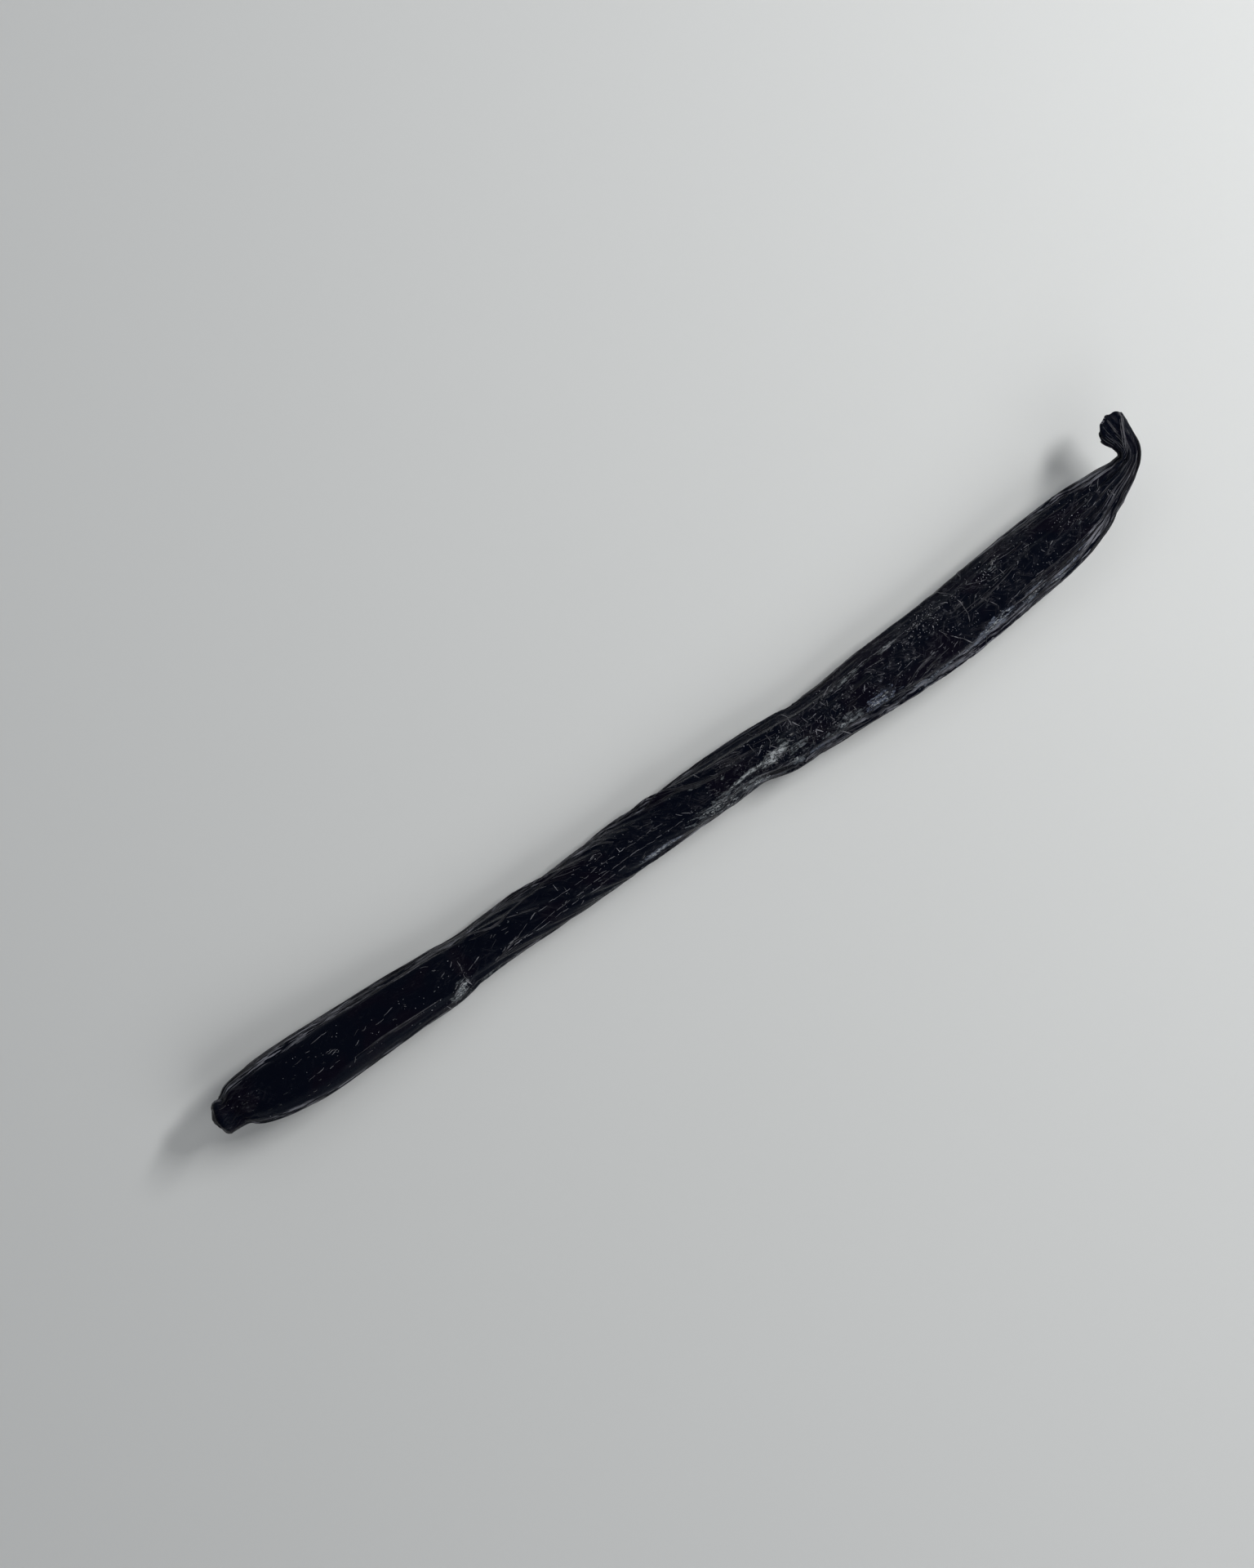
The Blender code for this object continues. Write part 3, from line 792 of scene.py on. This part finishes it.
def pod_skin():
    length = station_table()[0][-1]
    v = np.arange(AROUND) * 2 * np.pi / AROUND
    angles = v + BACK_SHARE * np.cos(v)
    s = ring_places(length)[:, None]
    skin, crumpled = surface(s, angles[None, :])
    b = angles[None, :] - twist(s)
    place = np.stack([4 * np.cos(b), 4 * np.sin(b), s + 0 * b], axis=-1)
    edge = (1 - ramp(np.sin(angles), 0.35, 0.9))[None, :] + 0 * s
    collar = 1 - ramp(s, 2.5, 5.0)
    crumpled = np.maximum(crumpled, 0.8 * collar)
    marks = np.stack([crumpled, edge, np.maximum(ramp(s, length - 6, length - 4), collar) + 0 * b], axis=-1)
    whole_s, whole_a = np.broadcast_arrays(s, angles[None, :])
    tints = skin_tints(whole_s, whole_a)
    band = edge_band(whole_s, whole_a)
    scar, scar_middle = capped(skin[0], SCAR, SCAR_MIDDLE, SCAR_UNEVEN)
    hollow, hollow_middle = capped(skin[-1][::-1], HOLLOW, HOLLOW_MIDDLE)
    rings = np.concatenate([scar[::-1], skin, hollow[:, ::-1]])
    count = len(rings)
    points = np.concatenate([rings.reshape(-1, 3), [scar_middle, hollow_middle]])
    pad = ((len(SCAR), len(HOLLOW)), (0, 0), (0, 0))
    place = np.concatenate([np.pad(place, pad, "edge").reshape(-1, 3), [[0, 0, 0], [0, 0, length]]])
    marks = np.concatenate([np.pad(marks, pad, "edge").reshape(-1, 3), [[0, 0, 0], [0, 0, 1]]])
    tints = np.concatenate([np.pad(tints, pad, "edge").reshape(-1, 3), [[0.5, 0, 0], [0.5, 0, 0]]])
    band = np.concatenate([np.pad(band, pad[:2], "edge").ravel(), [0.3, 0.3]])
    return points, count, place, marks, tints, band


# ---- hair-thin creases and specks that stand on the skin ----


def along_paths(paths, rng):
    """Breaks each path (x, y, ...) into short strokes. Gives each stroke's places and angles, one row each."""
    rows_s, rows_a = [], []
    for path in paths:
        points = np.array(path)
        s, a = spine_places(points[:, 0], points[:, 1])
        at = np.concatenate([[0.0], np.cumsum(np.hypot(np.diff(points[:, 0]), np.diff(points[:, 1])))])
        count = max(1, round(at[-1] / STROKE))
        starts = (np.arange(count) + rng.uniform(-0.15, 0.15, count)) * at[-1] / count
        ends = starts + rng.uniform(0.55, 1.15, count) * at[-1] / count
        t = starts[:, None] + (ends - starts)[:, None] * np.linspace(0, 1, STROKE_POINTS)
        t = np.clip(t, 0, at[-1])
        rows_s.append(np.interp(t, at, s))
        rows_a.append(np.interp(t, at, a))
    return np.concatenate(rows_s), np.concatenate(rows_a)


def scattered_strokes(rng):
    """Bunches of short strokes thrown over stretches of the pod: each stretch has its own length and slope."""
    rows_s, rows_a = [], []
    knots, table = station_table()
    step = (np.arange(BUNCH) - (BUNCH - 1) / 2)[None, :]
    t = np.linspace(-0.5, 0.5, STROKE_POINTS)
    for x_from, x_to, low, high, count, longest, slope, spread in STROKE_STRETCHES:
        turn = np.radians(rng.normal(slope, spread, (count, 1)) + rng.normal(0, 7, (count, BUNCH)))
        long = (longest * rng.uniform(0.1, 1.0, (count, BUNCH)) ** 1.4).ravel()[:, None]
        beside = BUNCH_STEP * (step + rng.normal(0, 0.8, (count, BUNCH)))
        before = rng.normal(0, 1.2, (count, BUNCH))
        x = rng.uniform(x_from, x_to, (count, 1)) + before * np.cos(turn) - beside * np.sin(turn)
        y = before * np.sin(turn) + beside * np.cos(turn)
        share = rng.uniform(low, high, (count, 1)) + np.zeros_like(y)
        turn, x, y, share = (values.ravel()[:, None] for values in (turn, x, y, share))
        bend = rng.normal(0, 0.15, turn.shape) * long * (t**2 - 0.08)
        dx = long * t * np.cos(turn) - bend * np.sin(turn)
        dy = long * t * np.sin(turn) + bend * np.cos(turn)
        s = np.interp(x, table[:21, 0], knots[:21])
        half = np.interp(s, knots, table[:, 3]) / 2
        rows_s.append(s + dx)
        rows_a.append(angle_of(np.clip(share + (y + dy) / half, -0.985, 0.985)))
    return np.concatenate(rows_s), np.concatenate(rows_a)


def strand_lines(rng):
    """Places and angles along each raised thread: nearly level with the spine, with a slow wave of its own."""
    rows_s, rows_a, widths = [], [], []
    for bundle in STRANDS:
        long = rng.uniform(0.35, 1.0, bundle.count) * bundle.long
        first = rng.uniform(bundle.start, bundle.end, bundle.count) - long / 2
        s = first[:, None] + long[:, None] * np.linspace(0, 1, STRAND_POINTS)
        s = np.clip(s, 0.4, station_table()[0][-1] - 0.4)
        a = rng.uniform(bundle.turn_from, bundle.turn_to, bundle.count)[:, None]
        a = a + bundle.follow * (twist(s) - twist(s[:, :1]))
        a = a + 0.06 * bumps(s, a, 5.0, 14, 91) + 0.035 * bumps(s, a, 2.2, 40, 92)
        rows_s.append(s)
        rows_a.append(a)
        widths.append(rng.uniform(0.5, 1.0, bundle.count) * bundle.wide)
    return np.concatenate(rows_s), np.concatenate(rows_a), np.concatenate(widths)


def spindles(s, a, width, high):
    """Closed threads along rows of places and angles, thin at both ends, half sunk into the skin.

    Six points go round each ring: across by the half width, up by high times it."""
    middle, normal = surface_and_normal(s, a)
    forward = np.gradient(middle, axis=1)
    forward /= np.linalg.norm(forward, axis=-1, keepdims=True) + 1e-9
    sideways = np.cross(normal, forward)
    swell = np.sin(np.linspace(0.04, 0.96, s.shape[1]) * np.pi) ** 0.6
    width = width[:, None] * swell
    rings = [
        middle + (across * width)[..., None] * sideways + (up * high * width)[..., None] * normal
        for across, up in THREAD_SECTION
    ]
    rings = np.stack(rings, axis=2)
    strokes, points, around = rings.shape[:3]
    first = np.arange(strokes)[:, None, None] * points * around
    ring = np.arange(points - 1)[None, :, None] * around
    here = np.arange(around)[None, None, :]
    beyond = (here + 1) % around
    base = first + ring
    quads = np.stack([base + here, base + around + here, base + around + beyond, base + beyond], axis=-1)
    ends = np.arange(around)[None, :]
    caps = np.concatenate([first[:, 0] + ends, (first[:, 0] + (points - 1) * around + ends)[:, ::-1]])
    points = rings.reshape(-1, 3)
    points[:, 2] = np.maximum(points[:, 2], 0.0)
    return points, quads.reshape(-1, 4).tolist() + caps.tolist()


def shades(rng, count, around, power=1.0):
    """One random paleness for each thread or speck, repeated for all its points."""
    return np.repeat(rng.uniform(0, 1, count) ** power, around)


def crease_strokes():
    rng = np.random.default_rng(5)
    long_s, long_a = along_paths(CREASE_PATHS, rng)
    broad_s, broad_a = along_paths(BROAD_PATHS, rng)
    short_s, short_a = scattered_strokes(rng)
    s, a = np.concatenate([long_s, broad_s, short_s]), np.concatenate([long_a, broad_a, short_a])
    a = a + np.cumsum(rng.normal(0, 0.006, a.shape), axis=1)
    around = STROKE_POINTS * 6
    # Paleness of each stroke: its pale end is a painted highlight on the crease.
    pale = np.concatenate([
        0.25 + 0.75 * shades(rng, len(long_s), around),
        0.6 + 0.4 * shades(rng, len(broad_s), around),
        shades(rng, len(short_s), around, 2.0),
    ])
    width = rng.uniform(*CREASE_WIDTH, len(s))
    width[len(long_s):len(long_s) + len(broad_s)] = rng.uniform(*BROAD_WIDTH, len(broad_s))
    return (*spindles(s, a, width, 0.55), pale)


def fold_lines(rng):
    """Broken, wavy threads side by side along each wider fold, and straight ones on the stem."""
    rows_s, rows_a = [], []
    t = np.linspace(0, 1, STRAND_POINTS)
    for path in FOLD_PATHS:
        s, a = spine_places(*np.array(path).T)
        at = np.linspace(0, 1, len(path))
        start = rng.uniform(0.0, 0.55, (FOLD_THREADS, 1))
        share = start + np.minimum(rng.uniform(0.3, 0.8, (FOLD_THREADS, 1)), 1 - start) * t
        fold_s, fold_a = np.interp(share, at, s), np.interp(share, at, a)
        rows_s.append(fold_s)
        rows_a.append(fold_a + rng.normal(0, 0.028, (FOLD_THREADS, 1)) + 0.03 * bumps(fold_s, fold_a, 3.0, 30, 93))
    for s_from, a_from, s_to, a_to in STEM_LINES:
        rows_s.append(s_from + (s_to - s_from) * t[None, :])
        rows_a.append(a_from + (a_to - a_from) * t[None, :])
    return np.concatenate(rows_s), np.concatenate(rows_a)


def skin_strands():
    rng = np.random.default_rng(13)
    s, a, width = strand_lines(rng)
    fold_s, fold_a = fold_lines(rng)
    wide = rng.uniform(0.035, 0.085, len(fold_s))
    # Paleness of each thread: its pale end is a painted highlight of light caught on the raised threads and folds.
    pale = np.concatenate([
        shades(rng, len(s), STRAND_POINTS * 6, 2.5),
        0.12 + 0.5 * shades(rng, len(fold_s) - len(STEM_LINES), STRAND_POINTS * 6, 1.5),
        np.ones(len(STEM_LINES) * STRAND_POINTS * 6),
    ])
    s, a, width = np.concatenate([s, fold_s]), np.concatenate([a, fold_a]), np.concatenate([width, wide])
    return (*spindles(s, a, width, 0.75), pale)


def speck_domes():
    """Low domes of a few faces, thrown singly and in clusters over stretches of the pod. Their pale grey is partly the
    specks' own colour and partly painted glints.
    """
    rng = np.random.default_rng(9)
    knots, table = station_table()
    xs, shares, sizes = [], [], []
    for x_from, x_to, low, high, count, cluster, size in SPECK_STRETCHES:
        x = rng.uniform(x_from, x_to, count)
        share = rng.uniform(low, high, count)
        xs.append((x[:, None] + rng.normal(0, 0.9, (count, cluster))).ravel())
        shares.append((share[:, None] + rng.normal(0, 0.13, (count, cluster))).ravel())
        sizes.append(rng.uniform(0.55, 1.0, count * cluster) * size)
    x, share, size = (np.concatenate(values) for values in (xs, shares, sizes))
    s = np.interp(x, table[:21, 0], knots[:21])
    a = angle_of(np.clip(share, -0.98, 0.98))
    middle, normal = surface_and_normal(s, a)
    forward = surface(s + SMALL_STEP, a)[0] - middle
    forward /= np.linalg.norm(forward, axis=-1, keepdims=True)
    sideways = np.cross(normal, forward)
    turn = np.arange(6) * np.pi / 3
    rings = [middle[:, None] + 0.75 * (size[:, None] * normal)[:, None]]
    for wide, up in ((0.6, 0.55), (1.0, 0.0), (0.5, -0.5)):
        out = wide * (np.cos(turn)[None, :, None] * forward[:, None] + np.sin(turn)[None, :, None] * sideways[:, None])
        rings.append(middle[:, None] + size[:, None, None] * (out + up * normal[:, None]))
    points = np.concatenate(rings, axis=1)
    first = np.arange(len(s))[:, None] * points.shape[1]
    here = np.arange(6)[None, :]
    beyond = (here + 1) % 6
    top = np.stack([first + 0 * here, first + 1 + here, first + 1 + beyond], axis=-1).reshape(-1, 3)
    walls = [
        np.stack([first + k + here, first + k + 6 + here, first + k + 6 + beyond, first + k + beyond], axis=-1)
        for k in (1, 7)
    ]
    under = first + 13 + here[:, ::-1]
    faces = top.tolist() + np.concatenate(walls).reshape(-1, 4).tolist() + under.tolist()
    return points.reshape(-1, 3), faces, shades(rng, len(s), points.shape[1])


def plain_piece(name, points, faces, pale, material):
    mesh = bpy.data.meshes.new(name)
    mesh.from_pydata((points * MM).tolist(), [], faces)
    mesh.shade_smooth()
    mesh.attributes.new("paleness", "FLOAT", "POINT").data.foreach_set("value", pale)
    mesh.materials.append(material)
    piece = bpy.data.objects.new(name, mesh)
    bpy.context.scene.collection.objects.link(piece)
    return piece


def pod_piece():
    """The skin as one closed mesh. Its points carry its own coordinates and how crumpled, how near an edge
    and how far in the stem they are."""
    points, count, place, marks, tints, band = pod_skin()
    ring = np.arange(count - 1)[:, None] * AROUND
    here = np.arange(AROUND)[None, :]
    beyond = (here + 1) % AROUND
    quads = np.stack([ring + here, ring + beyond, ring + AROUND + beyond, ring + AROUND + here], axis=-1)
    last = (count - 1) * AROUND
    here, beyond = here[0], beyond[0]
    scar = np.stack([beyond, here, np.full(AROUND, count * AROUND)], axis=-1)
    hollow = np.stack([last + here, last + beyond, np.full(AROUND, count * AROUND + 1)], axis=-1)
    mesh = bpy.data.meshes.new("pod_skin")
    mesh.from_pydata((points * MM).tolist(), [], quads.reshape(-1, 4).tolist() + scar.tolist() + hollow.tolist())
    mesh.shade_smooth()
    for name, values in (("along_skin", place), ("skin_marks", marks), ("skin_tints", tints)):
        mesh.attributes.new(name, "FLOAT_VECTOR", "POINT").data.foreach_set("vector", values.ravel())
    mesh.attributes.new("edge_band", "FLOAT", "POINT").data.foreach_set("value", band)
    piece = bpy.data.objects.new("pod_skin", mesh)
    bpy.context.scene.collection.objects.link(piece)
    return piece


# ---- shader maths ----


class Signal:
    """A shader socket that Python's operators work on: each adds one Math node."""

    def __init__(self, recipe, socket):
        self.recipe, self.socket = recipe, socket

    def maths(self, operation, *others):
        return self.recipe.add("ShaderNodeMath", {"operation": operation}, dict(enumerate((self, *others))))

    def __add__(self, other):
        return self.maths("ADD", other)

    def __sub__(self, other):
        return self.maths("SUBTRACT", other)

    def __rsub__(self, other):
        return self.recipe.add("ShaderNodeMath", {"operation": "SUBTRACT"}, {0: other, 1: self})

    def __mul__(self, other):
        return self.maths("MULTIPLY", other)

    def __truediv__(self, other):
        return self.maths("DIVIDE", other)

    def __pow__(self, other):
        return self.maths("POWER", other)

    __radd__, __rmul__ = __add__, __mul__

    def between(self, low, high):
        """0 below low, 1 above high and a smooth step between them."""
        sockets = {"Value": self, "From Min": low, "From Max": high}
        return self.recipe.add("ShaderNodeMapRange", {"interpolation_type": "SMOOTHSTEP"}, sockets)


class Recipe:
    """One material's or world's nodes."""

    def __init__(self, tree):
        self.tree = tree
        tree.nodes.clear()

    def add(self, kind, settings=None, sockets=None, out=0):
        """Adds a node: its settings first, then the values or links of its sockets. Gives one output."""
        node = self.tree.nodes.new(kind)
        for name, value in (settings or {}).items():
            setattr(node, name, value)
        for name, value in (sockets or {}).items():
            if isinstance(value, Signal):
                self.tree.links.new(value.socket, node.inputs[name])
            else:
                node.inputs[name].default_value = value
        return Signal(self, node.outputs[out]) if node.outputs else node

    def parts(self, vector):
        """The three numbers of a vector."""
        return [self.add("ShaderNodeSeparateXYZ", None, {"Vector": vector}, axis) for axis in "XYZ"]

    def blend(self, share, first, second):
        """A colour between two."""
        return self.add("ShaderNodeMix", {"data_type": "RGBA"}, {0: share, 6: first, 7: second}, 2)

    def noise(self, place, scale, detail=2.0, rough=0.5, stretch=(1, 1, 1), shift=(0, 0, 0)):
        moved = self.add("ShaderNodeMapping", None, {"Vector": place, "Scale": stretch, "Location": shift})
        return self.add("ShaderNodeTexNoise", None, {"Vector": moved, "Scale": scale, "Detail": detail, "Roughness": rough})


def skin_material():
    """Near-black skin: navy and plum in patches, an oily film that lies on the ridges and misses the creases,
    fine lines along and across where the skin has dried most, pale crests on the edge ridges that are a painted
    highlight, and a grey film in patches that is partly dust and partly a painted sheen, with painted glints and a
    painted bluish reflection."""
    material = bpy.data.materials.new("oily pod skin")
    material.use_nodes = True
    r = Recipe(material.node_tree)
    place = r.add("ShaderNodeAttribute", {"attribute_name": "along_skin"}, None, "Vector")
    marks = r.add("ShaderNodeAttribute", {"attribute_name": "skin_marks"}, None, "Vector")
    tints = r.add("ShaderNodeAttribute", {"attribute_name": "skin_tints"}, None, "Vector")
    crumpled, edge, in_stem = r.parts(marks)
    lined, film_and_sheen, blue = r.parts(tints)
    band = r.add("ShaderNodeAttribute", {"attribute_name": "edge_band"}, None, "Fac")
    along = r.parts(place)[2]

    patches = r.noise(place, 0.22, 2.0, 0.5, (1, 1, 0.6))
    streaks = r.noise(place, 1.5, 4.0, 0.6, (1, 1, 0.08))
    threads = r.noise(place, 3.2, 3.0, 0.6, (1, 1, 0.09), (5, 2, 0))
    grain = r.noise(place, 2.2, 4.0, 0.65, (1, 1, 0.8), (1, 7, 3))
    flecks = r.noise(place, 1.9, 5.0, 0.7, (1, 1, 0.30), (3, 1, 8))

    def lines(slope, scale, width, shift):
        turned = r.add("ShaderNodeVectorRotate", {"rotation_type": "Z_AXIS"}, {"Vector": place, "Angle": along * slope})
        field = r.noise(turned, scale, 2.0, 0.5, (1, 1, 0.10), shift)
        broken = r.noise(place, 0.55, 2.0, 0.5, (1, 1, 0.7), shift).between(0.50, 0.62)
        return (field - 0.5).maths("ABSOLUTE").between(width, 0.0) * broken

    creased = lines(0.02, 1.6, 0.030, (0, 0, 0)) + lines(0.16, 1.3, 0.022, (9, 4, 2))
    creased = creased + lines(-0.20, 1.2, 0.020, (2, 8, 5)) + lines(-0.05, 2.6, 0.035, (6, 6, 1))
    creased = creased * lined

    wavy = (r.noise(place, 0.30, 2.0, 0.5, (1, 1, 0.7), (8, 8, 2)) - 0.5) * 0.30
    swayed = r.add("ShaderNodeVectorRotate", {"rotation_type": "Z_AXIS"}, {"Vector": place, "Angle": wavy})
    fine = r.noise(swayed, 3.1, 2.0, 0.5, (1, 1, 0.07), (4, 4, 4))
    patchwork = r.noise(place, 0.9, 4.0, 0.6, (1, 1, 0.28), (6, 0, 2)).between(0.40, 0.58)
    cords = r.noise(swayed, 2.9, 3.0, 0.5, (1, 1, 0.05), (4, 9, 4))
    fine = fine + along.between(136, 156) * (cords - fine)
    ridged = fine.between(0.50, 0.54)
    scuffs = r.noise(place, 2.4, 5.0, 0.75, (1, 1, 0.45), (2, 5, 6)).between(0.56, 0.64)
    scuffs = scuffs * r.noise(place, 0.45, 3.0, 0.6, (1, 1, 0.6), (5, 1, 1)).between(0.48, 0.60) * lined

    colour = r.blend(patches.between(0.49, 0.62), NAVY, PLUM)
    colour = r.blend((creased * 0.8).maths("MINIMUM", 1.0), colour, LINE)
    colour = r.blend(scuffs * 0.8, colour, SCUFF)
    # Pale crests in the ridged edge bands, in patches: a painted highlight, the pale floor mirrored in the ridges.
    colour = r.blend(band * ridged * (0.15 + 0.85 * patchwork), colour, RIDGE_HIGHLIGHT)
    # The grey film: partly dust, partly a painted sheen of light on the flanks; its blue is a painted bluish
    # reflection.
    dust_and_sheen = (film_and_sheen + 3.2 * (flecks - 0.5) - 0.5).between(0.0, 0.15)
    fibres = r.noise(swayed, 3.4, 5.0, 0.7, (1, 1, 0.14), (7, 3, 1))
    cracks = (r.noise(place, 0.8, 3.0, 0.6, (1, 1, 0.8), (3, 3, 3)) - 0.5).maths("ABSOLUTE").between(0.030, 0.0)
    shade = dust_and_sheen * (0.08 + 0.92 * fibres.between(0.44, 0.56)) * (1.0 - cracks)
    colour = r.blend(shade, colour, r.blend(blue, GREY_DUST_AND_SHEEN, BLUE_SHEEN))
    # Bright flecks in the film: painted glints of light on the crumpled skin.
    glint_noise = r.noise(place, 4.6, 4.0, 0.65, (1, 1, 0.35), (1, 1, 9)) + 0.28 * (film_and_sheen - 0.9)
    bright = dust_and_sheen * glint_noise.between(0.535, 0.575) * (1.0 - cracks)
    colour = r.blend(bright, colour, PAINTED_GLINT)
    roughness = 0.22 + 0.12 * grain.between(0.35, 0.7) + 0.06 * edge + 0.2 * dust_and_sheen
    oil = (1.0 - band * (1.0 - ridged) * 0.95) * (1.0 - 0.85 * in_stem) * (1.0 - 0.7 * edge)
    height = (0.02 + 0.10 * edge) * streaks + (0.01 + 0.04 * edge) * threads + (0.006 + 0.09 * crumpled) * grain
    height = height + 0.05 * creased + 0.03 * dust_and_sheen + 0.08 * dust_and_sheen * fibres + 0.05 * band * ridged + 0.03 * scuffs
    bump = r.add("ShaderNodeBump", None, {"Strength": 1.0, "Distance": MM, "Height": height})
    sockets = {"Base Color": colour, "Roughness": roughness, "Normal": bump, "Specular IOR Level": 0.08}
    sockets |= {"Coat Weight": oil * 0.9, "Coat Roughness": 0.24, "Coat IOR": 1.45}
    shader = r.add("ShaderNodeBsdfPrincipled", None, sockets)
    r.add("ShaderNodeOutputMaterial", None, {"Surface": shader})
    return material


def plain_material(name, dark, pale, roughness, scale):
    """A dry finish between two greys: each thread or speck has its own, and it changes from place to place. The paler
    grey is a painted highlight on the creases and threads, and partly a painted glint on the specks.
    """
    material = bpy.data.materials.new(name)
    material.use_nodes = True
    r = Recipe(material.node_tree)
    place = r.add("ShaderNodeTexCoord", None, None, "Object")
    mottle = r.noise(place, scale / MM, 2.0)
    own = r.add("ShaderNodeAttribute", {"attribute_name": "paleness"}, None, "Fac")
    colour = r.blend(own * (0.4 + 0.6 * mottle.between(0.35, 0.65)), dark, pale)
    shader = r.add(
        "ShaderNodeBsdfPrincipled", None, {"Base Color": colour, "Roughness": roughness + 0.1 * mottle}
    )
    r.add("ShaderNodeOutputMaterial", None, {"Surface": shader})
    return material


# ---- the floor, the light and the camera ----

NAVY = (0.0011, 0.0021, 0.0062, 1.0)
PLUM = (0.0025, 0.0020, 0.0060, 1.0)
# painted highlight on the crests of the edge ridges
RIDGE_HIGHLIGHT = (0.172, 0.175, 0.200, 1.0)
SCUFF = (0.060, 0.062, 0.072, 1.0)
# painted glint in the film patches
PAINTED_GLINT = (0.32, 0.34, 0.35, 1.0)
LINE = (0.024, 0.024, 0.031, 1.0)
# grey film, partly dust and partly a painted sheen; the blue one is a painted bluish reflection
GREY_DUST_AND_SHEEN = (0.105, 0.115, 0.117, 1.0)
BLUE_SHEEN = (0.105, 0.122, 0.170, 1.0)
STRAND_DARK = (0.004, 0.004, 0.006, 1.0)
# painted highlight on the raised threads
STRAND_HIGHLIGHT = (0.112, 0.112, 0.126, 1.0)
CREASE_DARK = (0.02, 0.02, 0.024, 1.0)
# painted highlight on the hair-thin creases
CREASE_HIGHLIGHT = (0.222, 0.223, 0.242, 1.0)
SPECK_DARK = (0.10, 0.10, 0.11, 1.0)
# partly the specks' own pale colour, partly painted glints
SPECK_DUST_AND_GLINT = (0.40, 0.41, 0.43, 1.0)
FLOOR = (0.70, 0.71, 0.70, 1.0)


def floor_piece():
    half = 1.5
    mesh = bpy.data.meshes.new("pale_floor")
    corners = [(-half, -half, 0.0), (half, -half, 0.0), (half, half, 0.0), (-half, half, 0.0)]
    mesh.from_pydata(corners, [], [(0, 1, 2, 3)])
    material = bpy.data.materials.new("pale matt floor")
    material.use_nodes = True
    r = Recipe(material.node_tree)
    shader = r.add("ShaderNodeBsdfPrincipled", None, {"Base Color": FLOOR, "Roughness": 0.75})
    r.add("ShaderNodeOutputMaterial", None, {"Surface": shader})
    mesh.materials.append(material)
    floor = bpy.data.objects.new("pale_floor", mesh)
    bpy.context.scene.collection.objects.link(floor)
    return floor


def area_light(name, azimuth, elevation, distance, size, power, glints=True, lean=0):
    """A rectangular light that faces the pod from so many degrees round +Z from +X, and above the floor.

    One without glints lights the floor and the skin, but no gloss mirrors it. Its lean turns it about its middle."""
    light = bpy.data.lights.new(name, "AREA")
    light.shape = "RECTANGLE"
    light.size, light.size_y = size
    light.energy = power
    lamp = bpy.data.objects.new(name, light)
    turn, rise = math.radians(azimuth), math.radians(elevation)
    away = Vector((math.cos(turn) * math.cos(rise), math.sin(turn) * math.cos(rise), math.sin(rise)))
    lamp.location = away * distance
    lamp.rotation_euler = (away.to_track_quat("Z", "Y") @ Quaternion((0, 0, 1), math.radians(lean))).to_euler()
    lamp.visible_glossy = glints
    bpy.context.scene.collection.objects.link(lamp)


def room_light():
    """A dim room: darkest overhead and paler towards its walls."""
    world = bpy.data.worlds.new("dim room")
    bpy.context.scene.world = world
    world.use_nodes = True
    r = Recipe(world.node_tree)
    direction = r.add("ShaderNodeTexCoord", None, None, "Generated")
    height = r.add("ShaderNodeSeparateXYZ", None, {"Vector": direction}, "Z")
    colour = r.blend(height.between(0.2, 0.88), WALLS, CEILING)
    back = r.add("ShaderNodeBackground", None, {"Color": colour, "Strength": 1.0})
    r.add("ShaderNodeOutputWorld", None, {"Surface": back})


WALLS = (0.17, 0.19, 0.22, 1.0)
CEILING = (0.010, 0.011, 0.014, 1.0)


def camera():
    """Straight above the pod, turned so that the pod runs from lower left to upper right."""
    lens = bpy.data.cameras.new("camera")
    lens.lens = 90.7
    lens.clip_start = 0.01
    eye = bpy.data.objects.new("camera", lens)
    eye.location = Vector((-6.7 - MIDDLE[0], 5.4 - MIDDLE[1], 604.0)) * MM
    eye.rotation_euler = (0.0, 0.0, math.radians(-35.27))
    bpy.context.scene.collection.objects.link(eye)
    bpy.context.scene.camera = eye


def main():
    bpy.context.scene.view_settings.view_transform = "Standard"
    pod = pod_piece()
    pod.data.materials.append(skin_material())
    # The creases' pale grey is a painted highlight.
    crease_highlight_finish, pale = plain_material("creases with painted highlights", CREASE_DARK, CREASE_HIGHLIGHT, 0.35, 0.5), plain_material(
        "pale specks", SPECK_DARK, SPECK_DUST_AND_GLINT, 0.4, 0.9
    )
    # The threads' pale grey is a painted highlight, not their own colour.
    fibrous = plain_material("fibrous strands", STRAND_DARK, STRAND_HIGHLIGHT, 0.28, 0.8)
    creases = plain_piece("skin_creases", *crease_strokes(), crease_highlight_finish)
    specks = plain_piece("skin_specks", *speck_domes(), pale)
    strands = plain_piece("skin_strands", *skin_strands(), fibrous)
    for piece in (pod, creases, specks, strands):
        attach(piece, "root")
        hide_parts(NODE)
    floor_piece()
    area_light("window", 2.0, 39.5, 0.5, (0.24, 0.05), 1.52, lean=-45)
    area_light("near wall", -78, 38, 0.9, (1.0, 0.6), 3.1, glints=False)
    area_light("far wall", 72, 50, 0.9, (1.0, 0.6), 1.35, glints=False)
    area_light("ceiling", -10, 76, 0.55, (1.7, 1.7), 0.8, glints=False)
    room_light()
    camera()


main()
